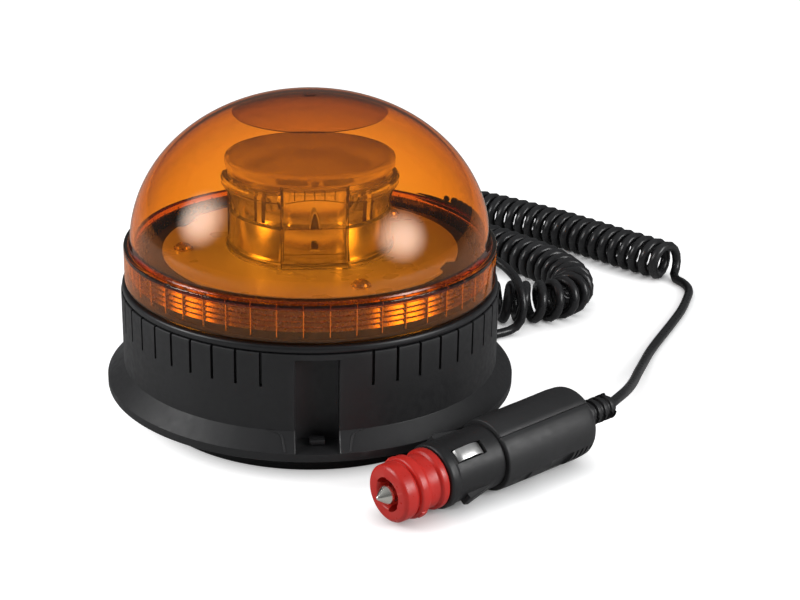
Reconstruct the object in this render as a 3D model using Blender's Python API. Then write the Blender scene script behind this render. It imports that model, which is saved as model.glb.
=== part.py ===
"""Amber LED warning beacon with a magnetic foot, a curly supply cord and a universal vehicle plug.

Metres, +Z up. The origin is on the beacon's axis at the underside of its rubber foot.
The plug lies in front of the beacon (-Y), the curly cord behind it and to its right (+X, +Y).
"""
import math

import bmesh
import bpy
from mathutils import Euler, Matrix, Vector

MM = 0.001
GAP = 0.3 * MM                      # clearance kept between touching pieces
ROUND = 44                          # facets round a large turned piece
SMALL_ROUND = 20                    # facets round a small turned piece
HOUSING_FACETS = 48
BEACON_TURN = math.radians(2.0)     # the beacon stands turned this far about its own axis
FRONT = math.radians(-90.0)         # azimuth of the side that faces -Y

# Magnetic foot
FOOT_HEIGHT = 11.0 * MM
FOOT_RADIUS = 59.0 * MM
FOOT_CHAMFER = 0.6 * MM
BOOT_WALL = 2.4 * MM
BOOT_FLOOR = 2.0 * MM
MAGNET_HEIGHT = 5.6 * MM
MAGNET_BORE = 22.0 * MM
YOKE_HEIGHT = 2.2 * MM
BOLT_RADIUS = 4.0 * MM
BOLT_HEAD_RADIUS = 7.2 * MM
BOLT_TOP = 24.0 * MM
BOLT_HOLE = 4.4 * MM                # radius of the bolt's hole in the yoke and the floor plate
NUT_BORE = 5.0 * MM
NUT_RADIUS = 7.8 * MM
NUT_LOW = 16.4 * MM
NUT_HIGH = 22.4 * MM

# Base housing
FLANGE_RADIUS = 75.0 * MM
FLANGE_TOP = 14.2 * MM              # top of the flange's upright rim
FLANGE_CHAMFER = 0.6 * MM
BODY_RADIUS = 68.9 * MM
CONE_TOP = 19.5 * MM                # the flange's slope meets the body at this height
BODY_TOP = 47.2 * MM
HOUSING_WALL = 2.6 * MM
PLATE_FLOOR = 1.5 * MM              # thickness of the plate that closes the housing underneath
COLLAR_RADIUS = 59.2 * MM           # black collar that rises inside the lens
COLLAR_TOP = 60.2 * MM
COLLAR_LIP = 50.0 * MM              # inner edge of the collar's lip, under the reflector plate
RECESS_WIDTH = 14.5 * MM
RECESS_BACK = 61.8 * MM             # radius of the recess's back wall at its middle
RECESS_HOLLOW = 2.2 * MM            # how far the back wall curves in from its edges to its middle
RECESS_FLOOR = 13.9 * MM
RECESS_SILL = 14.7 * MM             # top of the block that closes the flange under the recess
RECESS_TOP = 45.3 * MM
RECESS_AZIMUTHS = [FRONT + math.radians(a) for a in (0.0, 120.0, 240.0)]
SLOT_WIDTH = 0.9 * MM
SLOT_DEPTH = 1.4 * MM
SLOT_LENGTH = 12.1 * MM
SLOTS_PER_SECTOR = 13
SLOT_PITCH = math.radians(7.367)
FIRST_SLOT = math.radians(15.8)
GLAND_HOLE = 4.6 * MM

# Amber lens
LENS_FOOT = 50.2 * MM
SKIRT_RADIUS = 67.5 * MM
SKIRT_TOP = 64.0 * MM
DOME_RADIUS = 65.3 * MM
DOME_BASE = 62.6 * MM
DOME_HEIGHT = 55.0 * MM
DOME_STEPS = 9
DOME_POWER = 2.04                   # exponent of the dome's superellipse outline
LENS_WALL = 2.4 * MM

# Reflector plate and LED tower
PLATE_TOP = 61.6 * MM
PLATE_THICKNESS = 1.1 * MM
PLATE_RADIUS = 53.5 * MM
PLATE_SCREWS = [(46.0 * MM, math.radians(a)) for a in (185.0, 290.0, 46.0)]
PLATE_NOTCHES = [math.radians(a) for a in (-26.0, 150.0)]
NOTCH_WIDTH = 11.0 * MM
NOTCH_DEPTH = 1.6 * MM
TOWER_TURN = math.radians(3.5)
OPTIC_BORE = 21.2 * MM
OPTIC_FLAT = 27.6 * MM              # distance of the optic's three flat windows from the axis
WINDOW_HALF = math.radians(24.0)    # half of the angle that each window spans
OPTIC_OUTLINE = [                   # (height, radius) in mm: wide at rim and foot, narrow at the waist
    (61.9, 30.0), (63.4, 30.6), (64.6, 28.8), (70.2, 27.0), (71.2, 28.0), (78.0, 29.6),
    (83.5, 31.2), (86.6, 32.0), (88.0, 31.6), (89.0, 29.4), (91.4, 29.0),
]
OPTIC_TOP = OPTIC_OUTLINE[-1][0] * MM
CAP_TOP = 96.2 * MM
CAP_RADIUS = 30.5 * MM
CORE_APOTHEM = 16.6 * MM
CORE_TOP = 88.0 * MM
CORE_BORE = 4.0 * MM
BOARD_WIDTH = 16.0 * MM
BOARD_THICKNESS = 1.2 * MM
LED_SIZE = 3.4 * MM
LED_HEIGHTS = (67.0 * MM, 83.0 * MM)
DRIVER_BOARD_HEIGHT = 38.0 * MM
DRIVER_BOARD_RADIUS = 45.0 * MM
DRIVER_BOARD_THICKNESS = 1.6 * MM
PILLAR_CIRCLE = 40.0 * MM           # distance of the driver board's pillars from the axis
PILLAR_RADIUS = 3.2 * MM

# Cord
WIRE_RADIUS = 1.85 * MM
COIL_RADIUS = 9.0 * MM
COIL_HEIGHT = 9.1 * MM              # height of the coil's centre line over the ground
GLAND_AZIMUTH = math.radians(62.0)
GLAND_HEIGHT = 31.0 * MM
GLAND_TIP = 81.0 * MM               # radius at which the cord leaves the gland

# Plug, along its own X axis; the front face of the red adapter is at x = -1.2 mm
PLUG_FRONT = Vector((25.6, -97.4, 11.5)) * MM
PLUG_TURN = math.radians(37.3)
PLUG_RISE = math.radians(1.55)
BOOT_END = 101.0 * MM
SEAM_TURN = math.radians(-52.0)     # turn of the seam and the side contacts about the plug's axis
LOBE_TURN = math.radians(56.0)      # turn of the adapter's long opening about the plug's axis


# ---------------------------------------------------------------- helpers

def material(name, colour, roughness, metallic=0.0, transmission=0.0):
    mat = bpy.data.materials.new(name)
    mat.use_nodes = True
    shader = mat.node_tree.nodes["Principled BSDF"]
    shader.inputs["Base Color"].default_value = (*colour, 1.0)
    shader.inputs["Roughness"].default_value = roughness
    shader.inputs["Metallic"].default_value = metallic
    shader.inputs["Transmission Weight"].default_value = transmission
    mat.diffuse_color = (*colour, 1.0)
    return mat


def make_object(name, bm, mat, parent=None, location=(0, 0, 0), rotation=(0, 0, 0)):
    bmesh.ops.recalc_face_normals(bm, faces=bm.faces)
    mesh = bpy.data.meshes.new(name)
    bm.to_mesh(mesh)
    bm.free()
    obj = bpy.data.objects.new(name, mesh)
    bpy.context.collection.objects.link(obj)
    mesh.materials.append(mat)
    mesh.shade_smooth()
    mesh.set_sharp_from_angle(angle=math.radians(35))
    obj.parent = parent
    obj.location = location
    obj.rotation_euler = rotation
    return obj


def empty(name, location=(0, 0, 0), rotation=(0, 0, 0), parent=None):
    obj = bpy.data.objects.new(name, None)
    bpy.context.collection.objects.link(obj)
    obj.location = location
    obj.rotation_euler = rotation
    obj.parent = parent
    return obj


def lathe(profile, segments=ROUND, ring=True):
    """Turn (radius, z) points about Z. A ring profile is a closed loop; an open one ends on the axis."""
    bm = bmesh.new()
    rows = []
    for radius, z in profile:
        if radius < 1e-7:
            rows.append([bm.verts.new((0.0, 0.0, z))])
            continue
        angles = [2 * math.pi * k / segments for k in range(segments)]
        rows.append([bm.verts.new((radius * math.cos(a), radius * math.sin(a), z)) for a in angles])
    pairs = list(zip(rows, rows[1:]))
    if ring:
        pairs.append((rows[-1], rows[0]))
    for low, high in pairs:
        for k in range(segments):
            nxt = (k + 1) % segments
            if len(low) == 1:
                bm.faces.new((low[0], high[k], high[nxt]))
            elif len(high) == 1:
                bm.faces.new((low[k], low[nxt], high[0]))
            else:
                bm.faces.new((low[k], low[nxt], high[nxt], high[k]))
    return bm


def disc(radius, low, high, segments=SMALL_ROUND, bevel=0.0):
    """A turned solid disc or pin with an optional chamfer on both rims."""
    profile = [(0, low), (radius - bevel, low)]
    if bevel:
        profile += [(radius, low + bevel), (radius, high - bevel)]
        profile += [(radius - bevel, high), (0, high)]
    else:
        profile += [(radius, high), (0, high)]
    return lathe(profile, segments, ring=False)


def washer(inner, outer, low, high, segments=ROUND):
    return lathe([(inner, low), (outer, low), (outer, high), (inner, high)], segments)


def add_box(bm, size, centre, turn=None):
    """Add a box to bm, turned about the origin after it is placed."""
    matrix = Matrix.Translation(centre) @ Matrix.Diagonal((*size, 1.0))
    if turn is not None:
        matrix = turn @ matrix
    bmesh.ops.create_cube(bm, size=1.0, matrix=matrix)


def box_at(bm, azimuth, r_low, r_high, width, z_low, z_high):
    """Add a box that reaches from r_low to r_high along an azimuth."""
    size = (r_high - r_low, width, z_high - z_low)
    centre = ((r_low + r_high) / 2, 0.0, (z_low + z_high) / 2)
    add_box(bm, size, centre, Matrix.Rotation(azimuth, 4, "Z"))


def place(bm, matrix):
    bmesh.ops.transform(bm, matrix=matrix, verts=bm.verts)
    return bm


def combine(obj, bm, operation):
    """Apply one exact Boolean with a temporary tool made from bm."""
    bmesh.ops.recalc_face_normals(bm, faces=bm.faces)
    mesh = bpy.data.meshes.new("tool")
    bm.to_mesh(mesh)
    bm.free()
    tool = bpy.data.objects.new("tool", mesh)
    bpy.context.collection.objects.link(tool)
    tool.parent = obj.parent
    tool.location = obj.location
    tool.rotation_euler = obj.rotation_euler
    modifier = obj.modifiers.new("combine", "BOOLEAN")
    modifier.operation = operation
    modifier.object = tool
    modifier.solver = "EXACT"
    bpy.context.view_layer.update()
    evaluated = obj.evaluated_get(bpy.context.evaluated_depsgraph_get())
    result = bpy.data.meshes.new_from_object(evaluated)
    obj.modifiers.clear()
    obj.data = result
    result.shade_smooth()
    result.set_sharp_from_angle(angle=math.radians(35))
    bpy.data.objects.remove(tool, do_unlink=True)


def smooth_route(points, step):
    """Points a step apart on a smooth curve through the route's own points (centripetal spline)."""
    pts = [Vector(p) for p in points]
    pts = [2 * pts[0] - pts[1]] + pts + [2 * pts[-1] - pts[-2]]
    dense = []
    for p0, p1, p2, p3 in zip(pts, pts[1:], pts[2:], pts[3:]):
        t1 = (p1 - p0).length ** 0.5
        t2 = t1 + (p2 - p1).length ** 0.5
        t3 = t2 + (p3 - p2).length ** 0.5
        for k in range(24):
            t = t1 + (t2 - t1) * k / 24
            a1 = p0 * ((t1 - t) / t1) + p1 * (t / t1)
            a2 = p1 * ((t2 - t) / (t2 - t1)) + p2 * ((t - t1) / (t2 - t1))
            a3 = p2 * ((t3 - t) / (t3 - t2)) + p3 * ((t - t2) / (t3 - t2))
            b1 = a1 * ((t2 - t) / t2) + a2 * (t / t2)
            b2 = a2 * ((t3 - t) / (t3 - t1)) + a3 * ((t - t1) / (t3 - t1))
            dense.append(b1 * ((t2 - t) / (t2 - t1)) + b2 * ((t - t1) / (t2 - t1)))
    dense.append(pts[-2])
    length = sum((b - a).length for a, b in zip(dense, dense[1:]))
    count = max(2, round(length / step))
    result = [dense[0]]
    travelled = 0.0
    target = length / count
    for a, b in zip(dense, dense[1:]):
        span = (b - a).length
        while span > 0 and travelled + span >= target - 1e-9 and len(result) < count:
            result.append(a.lerp(b, (target - travelled) / span))
            target += length / count
        travelled += span
    result.append(dense[-1])
    return result


def tube(name, points, radius, mat, resolution):
    curve = bpy.data.curves.new(name, "CURVE")
    curve.dimensions = "3D"
    curve.bevel_depth = radius
    curve.bevel_resolution = resolution
    curve.use_fill_caps = True
    spline = curve.splines.new("POLY")
    spline.points.add(len(points) - 1)
    for point, co in zip(spline.points, points):
        point.co = (*co, 1.0)
    obj = bpy.data.objects.new(name, curve)
    bpy.context.collection.objects.link(obj)
    curve.materials.append(mat)
    return obj


def mm(*points):
    return [Vector(p) * MM for p in points]


# ---------------------------------------------------------------- magnetic foot

def rubber_boot(beacon):
    inner = FOOT_RADIUS - BOOT_WALL
    profile = [
        (0, 0), (FOOT_RADIUS - FOOT_CHAMFER, 0), (FOOT_RADIUS, FOOT_CHAMFER),
        (FOOT_RADIUS, FOOT_HEIGHT - GAP), (inner, FOOT_HEIGHT - GAP), (inner, BOOT_FLOOR), (0, BOOT_FLOOR),
    ]
    rubber = material("boot_rubber", (0.015, 0.015, 0.016), 0.85)
    make_object("rubber_boot", lathe(profile, ring=False), rubber, beacon)


def magnet_stack(beacon):
    radius = FOOT_RADIUS - BOOT_WALL - GAP
    low = BOOT_FLOOR + GAP
    high = low + MAGNET_HEIGHT
    ferrite = material("ferrite", (0.06, 0.055, 0.055), 0.6)
    steel = material("zinc_steel", (0.62, 0.62, 0.6), 0.35, 1.0)
    make_object("ring_magnet", washer(MAGNET_BORE, radius, low, high), ferrite, beacon)
    yoke_low = high + GAP
    yoke = washer(BOLT_HOLE, radius, yoke_low, yoke_low + YOKE_HEIGHT)
    make_object("magnet_yoke", yoke, steel, beacon)
    head_low = low + 1.2 * MM
    bolt = [
        (0, head_low), (BOLT_HEAD_RADIUS, head_low), (BOLT_HEAD_RADIUS, yoke_low - GAP),
        (BOLT_RADIUS, yoke_low - GAP), (BOLT_RADIUS, BOLT_TOP), (0, BOLT_TOP),
    ]
    make_object("centre_bolt", lathe(bolt, SMALL_ROUND, ring=False), steel, beacon)
    nut = washer(NUT_BORE, NUT_RADIUS, NUT_LOW, NUT_HIGH, 6)
    make_object("centre_nut", nut, steel, beacon)


# ---------------------------------------------------------------- base

def housing_shell():
    """Outer wall, top deck and collar of the housing, open underneath."""
    deck = BODY_TOP - HOUSING_WALL
    outer = [
        (FLANGE_RADIUS - FLANGE_CHAMFER, FOOT_HEIGHT), (FLANGE_RADIUS, FOOT_HEIGHT + FLANGE_CHAMFER),
        (FLANGE_RADIUS, FLANGE_TOP), (BODY_RADIUS, CONE_TOP),
        (BODY_RADIUS, BODY_TOP), (COLLAR_RADIUS, BODY_TOP), (COLLAR_RADIUS, COLLAR_TOP),
        (COLLAR_LIP, COLLAR_TOP), (COLLAR_LIP, COLLAR_TOP - 2.0 * MM),
    ]
    inner_collar = COLLAR_RADIUS - HOUSING_WALL
    inner = [
        (inner_collar, COLLAR_TOP - 2.0 * MM), (inner_collar, deck),
        (BODY_RADIUS - HOUSING_WALL, deck), (BODY_RADIUS - HOUSING_WALL, CONE_TOP),
        (FLANGE_RADIUS - HOUSING_WALL, FLANGE_TOP - 1.2 * MM), (FLANGE_RADIUS - HOUSING_WALL, FOOT_HEIGHT),
    ]
    return lathe(outer + inner, HOUSING_FACETS)


def slot_azimuths():
    for recess in RECESS_AZIMUTHS:
        for k in range(SLOTS_PER_SECTOR):
            yield recess + FIRST_SLOT + k * SLOT_PITCH


def recess_cutter(azimuth):
    """A vertical channel with a hollow back, from under the gasket down into the flange."""
    bm = bmesh.new()
    half = RECESS_WIDTH / 2
    outline = [(FLANGE_RADIUS + 5 * MM, -half), (FLANGE_RADIUS + 5 * MM, half)]
    for k in range(9):
        side = half * (1 - k / 4)
        outline.append((RECESS_BACK + RECESS_HOLLOW * (side / half) ** 2, side))
    rows = []
    for z in (RECESS_FLOOR, RECESS_TOP):
        rows.append([bm.verts.new((x, y, z)) for x, y in outline])
    bm.faces.new(rows[0][::-1])
    bm.faces.new(rows[1])
    for k in range(len(outline)):
        nxt = (k + 1) % len(outline)
        bm.faces.new((rows[0][k], rows[0][nxt], rows[1][nxt], rows[1][k]))
    return place(bm, Matrix.Rotation(azimuth, 4, "Z"))


def base_housing(beacon):
    plastic = material("housing_plastic", (0.022, 0.023, 0.025), 0.55)
    housing = make_object("base_housing", housing_shell(), plastic, beacon)
    width = RECESS_WIDTH + 4.4 * MM
    low = FOOT_HEIGHT + PLATE_FLOOR + GAP
    for azimuth in RECESS_AZIMUTHS:
        pocket = bmesh.new()
        box_at(pocket, azimuth, RECESS_BACK - 2.2 * MM, BODY_RADIUS - 1.0 * MM, width,
               low, BODY_TOP - 1.0 * MM)
        combine(housing, pocket, "UNION")
        sill = bmesh.new()
        box_at(sill, azimuth, BODY_RADIUS - 2.0 * MM, FLANGE_RADIUS - 1.5 * MM, width - 1.0 * MM,
               low + 0.1 * MM, RECESS_SILL)
        combine(housing, sill, "UNION")
    for azimuth in RECESS_AZIMUTHS:
        combine(housing, recess_cutter(azimuth), "DIFFERENCE")
    tabs = bmesh.new()
    for azimuth in RECESS_AZIMUTHS:
        box_at(tabs, azimuth, RECESS_BACK - 1.0 * MM, RECESS_BACK + 4.4 * MM, 5.2 * MM,
               RECESS_FLOOR + 2.2 * MM, RECESS_FLOOR + 4.4 * MM)
    combine(housing, tabs, "UNION")
    slots = bmesh.new()
    for azimuth in slot_azimuths():
        box_at(slots, azimuth, BODY_RADIUS - SLOT_DEPTH, BODY_RADIUS + 2 * MM, SLOT_WIDTH,
               BODY_TOP - SLOT_LENGTH, BODY_TOP + 1 * MM)
    combine(housing, slots, "DIFFERENCE")
    turn = Matrix.Rotation(GLAND_AZIMUTH - BEACON_TURN, 4, "Z")
    hole = disc(GLAND_HOLE, 60 * MM, 76 * MM)
    place(hole, turn @ Matrix.Translation((0, 0, GLAND_HEIGHT)) @ Matrix.Rotation(math.pi / 2, 4, "Y"))
    combine(housing, hole, "DIFFERENCE")


def base_plate(beacon):
    """Floor of the housing with the pillars that carry the driver board."""
    plastic = material("plate_plastic", (0.03, 0.03, 0.032), 0.6)
    low = FOOT_HEIGHT
    high = low + PLATE_FLOOR
    radius = FLANGE_RADIUS - HOUSING_WALL - GAP
    plate = make_object("base_plate", washer(BOLT_HOLE, radius, low, high), plastic, beacon)
    pillars = bmesh.new()
    for azimuth in RECESS_AZIMUTHS:
        post = disc(PILLAR_RADIUS, high - 0.5 * MM, DRIVER_BOARD_HEIGHT - GAP, 12)
        spot = (PILLAR_CIRCLE * math.cos(azimuth), PILLAR_CIRCLE * math.sin(azimuth), 0)
        place(post, Matrix.Translation(spot))
        mesh = bpy.data.meshes.new("post")
        post.to_mesh(mesh)
        post.free()
        pillars.from_mesh(mesh)
        bpy.data.meshes.remove(mesh)
    combine(plate, pillars, "UNION")


def driver_electronics(beacon):
    board_green = material("board_green", (0.02, 0.12, 0.06), 0.5)
    can = material("capacitor_can", (0.5, 0.5, 0.52), 0.3, 1.0)
    copper = material("copper_winding", (0.55, 0.25, 0.12), 0.4, 1.0)
    block = material("terminal_grey", (0.3, 0.32, 0.33), 0.6)
    top = DRIVER_BOARD_HEIGHT + DRIVER_BOARD_THICKNESS
    board = disc(DRIVER_BOARD_RADIUS, DRIVER_BOARD_HEIGHT, top, ROUND)
    make_object("driver_board", board, board_green, beacon)
    low = top + GAP
    for k, azimuth in enumerate((math.radians(20), math.radians(70))):
        spot = (24 * MM * math.cos(azimuth), 24 * MM * math.sin(azimuth), 0)
        body = disc(5 * MM, low, low + 12 * MM, SMALL_ROUND, 0.6 * MM)
        make_object(f"capacitor_{k + 1}", body, can, beacon, spot)
    choke = washer(4 * MM, 9 * MM, low, low + 6 * MM, SMALL_ROUND)
    make_object("choke", choke, copper, beacon, (-22 * MM, 10 * MM, 0))
    terminal = bmesh.new()
    add_box(terminal, (16 * MM, 9 * MM, 9 * MM), (-2 * MM, -26 * MM, low + 4.5 * MM))
    make_object("terminal_block", terminal, block, beacon)


def lens_gasket(beacon):
    rubber = material("gasket_rubber", (0.012, 0.012, 0.013), 0.7)
    low = BODY_TOP + GAP
    high = LENS_FOOT - GAP
    middle = (low + high) / 2
    outer = BODY_RADIUS - 0.3 * MM
    inner = SKIRT_RADIUS - 6.0 * MM
    profile = [
        (inner, low), (outer - 0.9 * MM, low), (outer - 0.2 * MM, low + 0.6 * MM), (outer, middle),
        (outer - 0.2 * MM, high - 0.6 * MM), (outer - 0.9 * MM, high), (inner, high),
    ]
    make_object("lens_gasket", lathe(profile), rubber, beacon)


# ---------------------------------------------------------------- lens

def dome_outline(offset, steps):
    """Superellipse outline of the dome from its base to its crown, moved inward by offset."""
    points = []
    for k in range(steps + 1):
        angle = math.pi / 2 * k / steps
        radius = (DOME_RADIUS - offset) * max(math.cos(angle), 0.0) ** (2 / DOME_POWER)
        height = (DOME_HEIGHT - offset) * math.sin(angle) ** (2 / DOME_POWER)
        points.append((radius if k < steps else 0.0, DOME_BASE + height))
    return points


def dome_lens(beacon):
    amber = material("amber_lens", (0.95, 0.35, 0.02), 0.05, 0.0, 0.9)
    outer = [(SKIRT_RADIUS - 0.5 * MM, LENS_FOOT), (SKIRT_RADIUS, LENS_FOOT + 0.5 * MM)]
    outer += [(SKIRT_RADIUS, SKIRT_TOP - 1.0 * MM), (SKIRT_RADIUS - 0.8 * MM, SKIRT_TOP)]
    dome = dome_outline(0.0, DOME_STEPS)
    first = next(k for k, point in enumerate(dome) if point[1] > SKIRT_TOP + 0.5 * MM)
    outer += [(dome[0][0] - 0.1 * MM, SKIRT_TOP)] + dome[first:]
    inner = [p for p in dome_outline(LENS_WALL, DOME_STEPS) if p[1] > SKIRT_TOP][::-1]
    inner += [
        (DOME_RADIUS - LENS_WALL, SKIRT_TOP - 1.0 * MM), (SKIRT_RADIUS - LENS_WALL, SKIRT_TOP - 2.6 * MM),
        (SKIRT_RADIUS - LENS_WALL, LENS_FOOT),
    ]
    bm = lathe_shell(outer, inner)
    make_object("dome_lens", bm, amber, beacon)


def lathe_shell(outer, inner):
    """A turned shell whose outer and inner outlines each end on the axis."""
    bm = lathe(outer, ROUND, ring=False)
    other = lathe(inner, ROUND, ring=False)
    mesh = bpy.data.meshes.new("inner")
    other.to_mesh(mesh)
    other.free()
    bm.from_mesh(mesh)
    bpy.data.meshes.remove(mesh)
    bridge_open_rims(bm)
    return bm


def bridge_open_rims(bm):
    rims = [edge for edge in bm.edges if len(edge.link_faces) == 1]
    bmesh.ops.bridge_loops(bm, edges=rims)


# ---------------------------------------------------------------- reflector and LED tower

def reflector_plate(beacon):
    white = material("reflector_white", (0.85, 0.85, 0.83), 0.25, 0.2)
    low = PLATE_TOP - PLATE_THICKNESS
    plate = make_object("reflector_plate", disc(PLATE_RADIUS, low, PLATE_TOP, ROUND), white, beacon)
    cut = bmesh.new()
    for azimuth in PLATE_NOTCHES:
        box_at(cut, azimuth, PLATE_RADIUS - NOTCH_DEPTH, PLATE_RADIUS + 3 * MM, NOTCH_WIDTH,
               low - 1 * MM, PLATE_TOP + 1 * MM)
    combine(plate, cut, "DIFFERENCE")


def plate_screws(beacon):
    steel = material("screw_steel", (0.7, 0.62, 0.45), 0.25, 1.0)
    low = PLATE_TOP + GAP
    for k, (radius, azimuth) in enumerate(PLATE_SCREWS):
        profile = [
            (0, low), (2.9 * MM, low), (2.7 * MM, low + 1.2 * MM), (1.6 * MM, low + 2.0 * MM),
            (0, low + 2.2 * MM),
        ]
        spot = (radius * math.cos(azimuth), radius * math.sin(azimuth), 0)
        make_object(f"plate_screw_{k + 1}", lathe(profile, 12, ring=False), steel, beacon, spot)


def led_core(tower):
    metal = material("core_aluminium", (0.75, 0.76, 0.77), 0.35, 1.0)
    radius = CORE_APOTHEM / math.cos(math.pi / 6)
    make_object("led_core", washer(CORE_BORE, radius, PLATE_TOP + GAP, CORE_TOP, 6), metal, tower)


def led_boards(tower):
    """Six narrow boards, one on each side of the core, each with its two LED packages."""
    white = material("led_board_white", (0.8, 0.8, 0.76), 0.4)
    inner = CORE_APOTHEM + GAP
    for k in range(6):
        azimuth = math.radians(60 * k) + FRONT
        bm = bmesh.new()
        box_at(bm, azimuth, inner, inner + BOARD_THICKNESS, BOARD_WIDTH,
               PLATE_TOP + 1 * MM, CORE_TOP - 1 * MM)
        board = make_object(f"led_board_{k + 1}", bm, white, tower)
        chips = bmesh.new()
        for z in LED_HEIGHTS:
            box_at(chips, azimuth, inner + 0.5 * MM, inner + BOARD_THICKNESS + 1.1 * MM, LED_SIZE,
                   z - LED_SIZE / 2, z + LED_SIZE / 2)
        combine(board, chips, "UNION")


def ring_row(bm, radius_at, z, segments):
    """One row of vertices round the axis; radius_at gives the radius for an angle."""
    row = []
    for k in range(segments):
        angle = 2 * math.pi * k / segments
        radius = radius_at(angle)
        row.append(bm.verts.new((radius * math.cos(angle), radius * math.sin(angle), z)))
    return row


def tower_optic(tower):
    """Thick clear ring with three flat windows, turned to OPTIC_OUTLINE between them."""
    clear = material("clear_optic", (0.95, 0.9, 0.8), 0.05, 0.0, 0.9)
    segments = 36
    bm = bmesh.new()
    rows = []
    for z, radius in OPTIC_OUTLINE:

        def outline(angle):
            off = (angle - FRONT + math.pi / 3) % (2 * math.pi / 3) - math.pi / 3
            return OPTIC_FLAT / math.cos(off) if abs(off) < WINDOW_HALF else radius * MM

        rows.append(ring_row(bm, outline, z * MM, segments))
    for z in (OPTIC_TOP, OPTIC_OUTLINE[0][0] * MM):
        rows.append(ring_row(bm, lambda angle: OPTIC_BORE, z, segments))
    for low, high in zip(rows, rows[1:] + rows[:1]):
        for k in range(segments):
            nxt = (k + 1) % segments
            bm.faces.new((low[k], low[nxt], high[nxt], high[k]))
    make_object("tower_optic", bm, clear, tower)


def tower_cap(tower):
    clear = material("clear_cap", (0.9, 0.82, 0.7), 0.08, 0.0, 0.9)
    low = OPTIC_TOP + GAP
    profile = [
        (0, low), (CAP_RADIUS - 1.4 * MM, low), (CAP_RADIUS, low + 1.4 * MM),
        (CAP_RADIUS, CAP_TOP - 1.2 * MM),
        (CAP_RADIUS - 1.0 * MM, CAP_TOP - 0.4 * MM), (CAP_RADIUS - 4.0 * MM, CAP_TOP), (0, CAP_TOP),
    ]
    make_object("tower_cap", lathe(profile, ROUND, ring=False), clear, tower)


# ---------------------------------------------------------------- cord

BASE_LEAD = [
    (38.2, 71.8, 31.0), (43.0, 80.4, 31.2), (51.0, 87.8, 30.6), (61.0, 90.4, 29.0), (70.5, 88.4, 26.8),
    (78.0, 83.2, 24.4), (82.8, 76.4, 22.2), (85.6, 69.4, 19.6), (86.9, 64.6, 14.8), (87.0, 62.8, 9.5),
    (86.0, 62.4, 5.2), (83.6, 61.8, 2.7), (80.4, 60.4, 1.95), (73.5, 56.8, 1.95), (66.5, 54.8, 1.95),
    (60.6, 58.2, 1.95), (58.0, 65.2, 1.95), (60.4, 72.6, 1.95), (65.0, 75.8, 1.95), (69.3, 76.0, 1.95),
]
COIL_LINE = [
    (70.0, 76.0), (80.0, 75.6), (92.0, 75.3), (102.5, 78.6), (110.0, 86.6),
    (112.3, 98.0), (109.2, 110.6), (102.8, 122.4), (93.7, 134.4), (83.3, 146.4),
    (72.0, 158.6), (62.8, 171.4), (59.6, 185.6), (64.4, 198.0), (75.0, 202.0), (85.4, 195.6),
    (99.4, 184.4), (116.9, 168.4), (132.8, 151.0), (148.1, 134.6), (161.9, 120.7),
]
PLUG_LEAD = [
    (162.5, 120.1, 1.95), (164.3, 116.2, 1.95), (165.2, 111.2, 1.95), (164.6, 105.2, 1.95),
    (162.2, 97.8, 1.95), (157.2, 84.6, 1.95), (151.0, 71.4, 1.95), (145.0, 59.4, 1.95),
    (139.4, 48.2, 1.95), (134.6, 37.8, 2.1), (130.2, 25.8, 3.3), (125.2, 11.2, 5.5),
    (120.7, -3.0, 8.1), (116.1, -15.8, 10.8), (111.4, -26.6, 13.1),
]


def curly_cord():
    jacket = material("cord_jacket", (0.02, 0.02, 0.021), 0.45)
    base = smooth_route(mm(*BASE_LEAD), 5.4 * MM)
    tube("base_lead", base, WIRE_RADIUS, jacket, 2)
    coil = smooth_route([Vector((x * MM, y * MM, COIL_HEIGHT)) for x, y in COIL_LINE], 5.5 * MM)
    tube("curly_coil", coil, COIL_RADIUS, jacket, 2)
    exit_point = plug_point(BOOT_END + GAP)
    route = mm(*PLUG_LEAD) + [exit_point]
    tube("plug_lead", smooth_route(route, 5.4 * MM), WIRE_RADIUS, jacket, 2)


def cord_gland(beacon):
    """Round rubber gland in the rear wall of the housing, tapered toward the cord."""
    rubber = material("gland_rubber", (0.016, 0.016, 0.017), 0.7)
    bore = WIRE_RADIUS + GAP
    profile = [
        (bore, 60.5 * MM), (4.2 * MM, 60.5 * MM), (4.2 * MM, 69.9 * MM), (6.6 * MM, 69.9 * MM),
        (6.4 * MM, 72.4 * MM), (4.2 * MM, 73.2 * MM), (3.4 * MM, GLAND_TIP), (bore, GLAND_TIP),
    ]
    bm = lathe(profile, SMALL_ROUND)
    turn = Matrix.Rotation(GLAND_AZIMUTH - BEACON_TURN, 4, "Z")
    place(bm, turn @ Matrix.Translation((0, 0, GLAND_HEIGHT)) @ Matrix.Rotation(math.pi / 2, 4, "Y"))
    make_object("cord_gland", bm, rubber, beacon)


# ---------------------------------------------------------------- plug

def plug_matrix():
    return Matrix.Translation(PLUG_FRONT) @ Euler((0, -PLUG_RISE, PLUG_TURN)).to_matrix().to_4x4()


def plug_point(x):
    return plug_matrix() @ Vector((x, 0, 0))


def along_x(bm):
    """Lay a piece turned about Z along the plug's own X axis."""
    return place(bm, Matrix.Rotation(math.pi / 2, 4, "Y"))


def plug_lathe(profile, segments=20, ring=True):
    """Turn (x, radius) points about the plug's X axis."""
    return along_x(lathe([(radius, x) for x, radius in profile], segments, ring))


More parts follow.
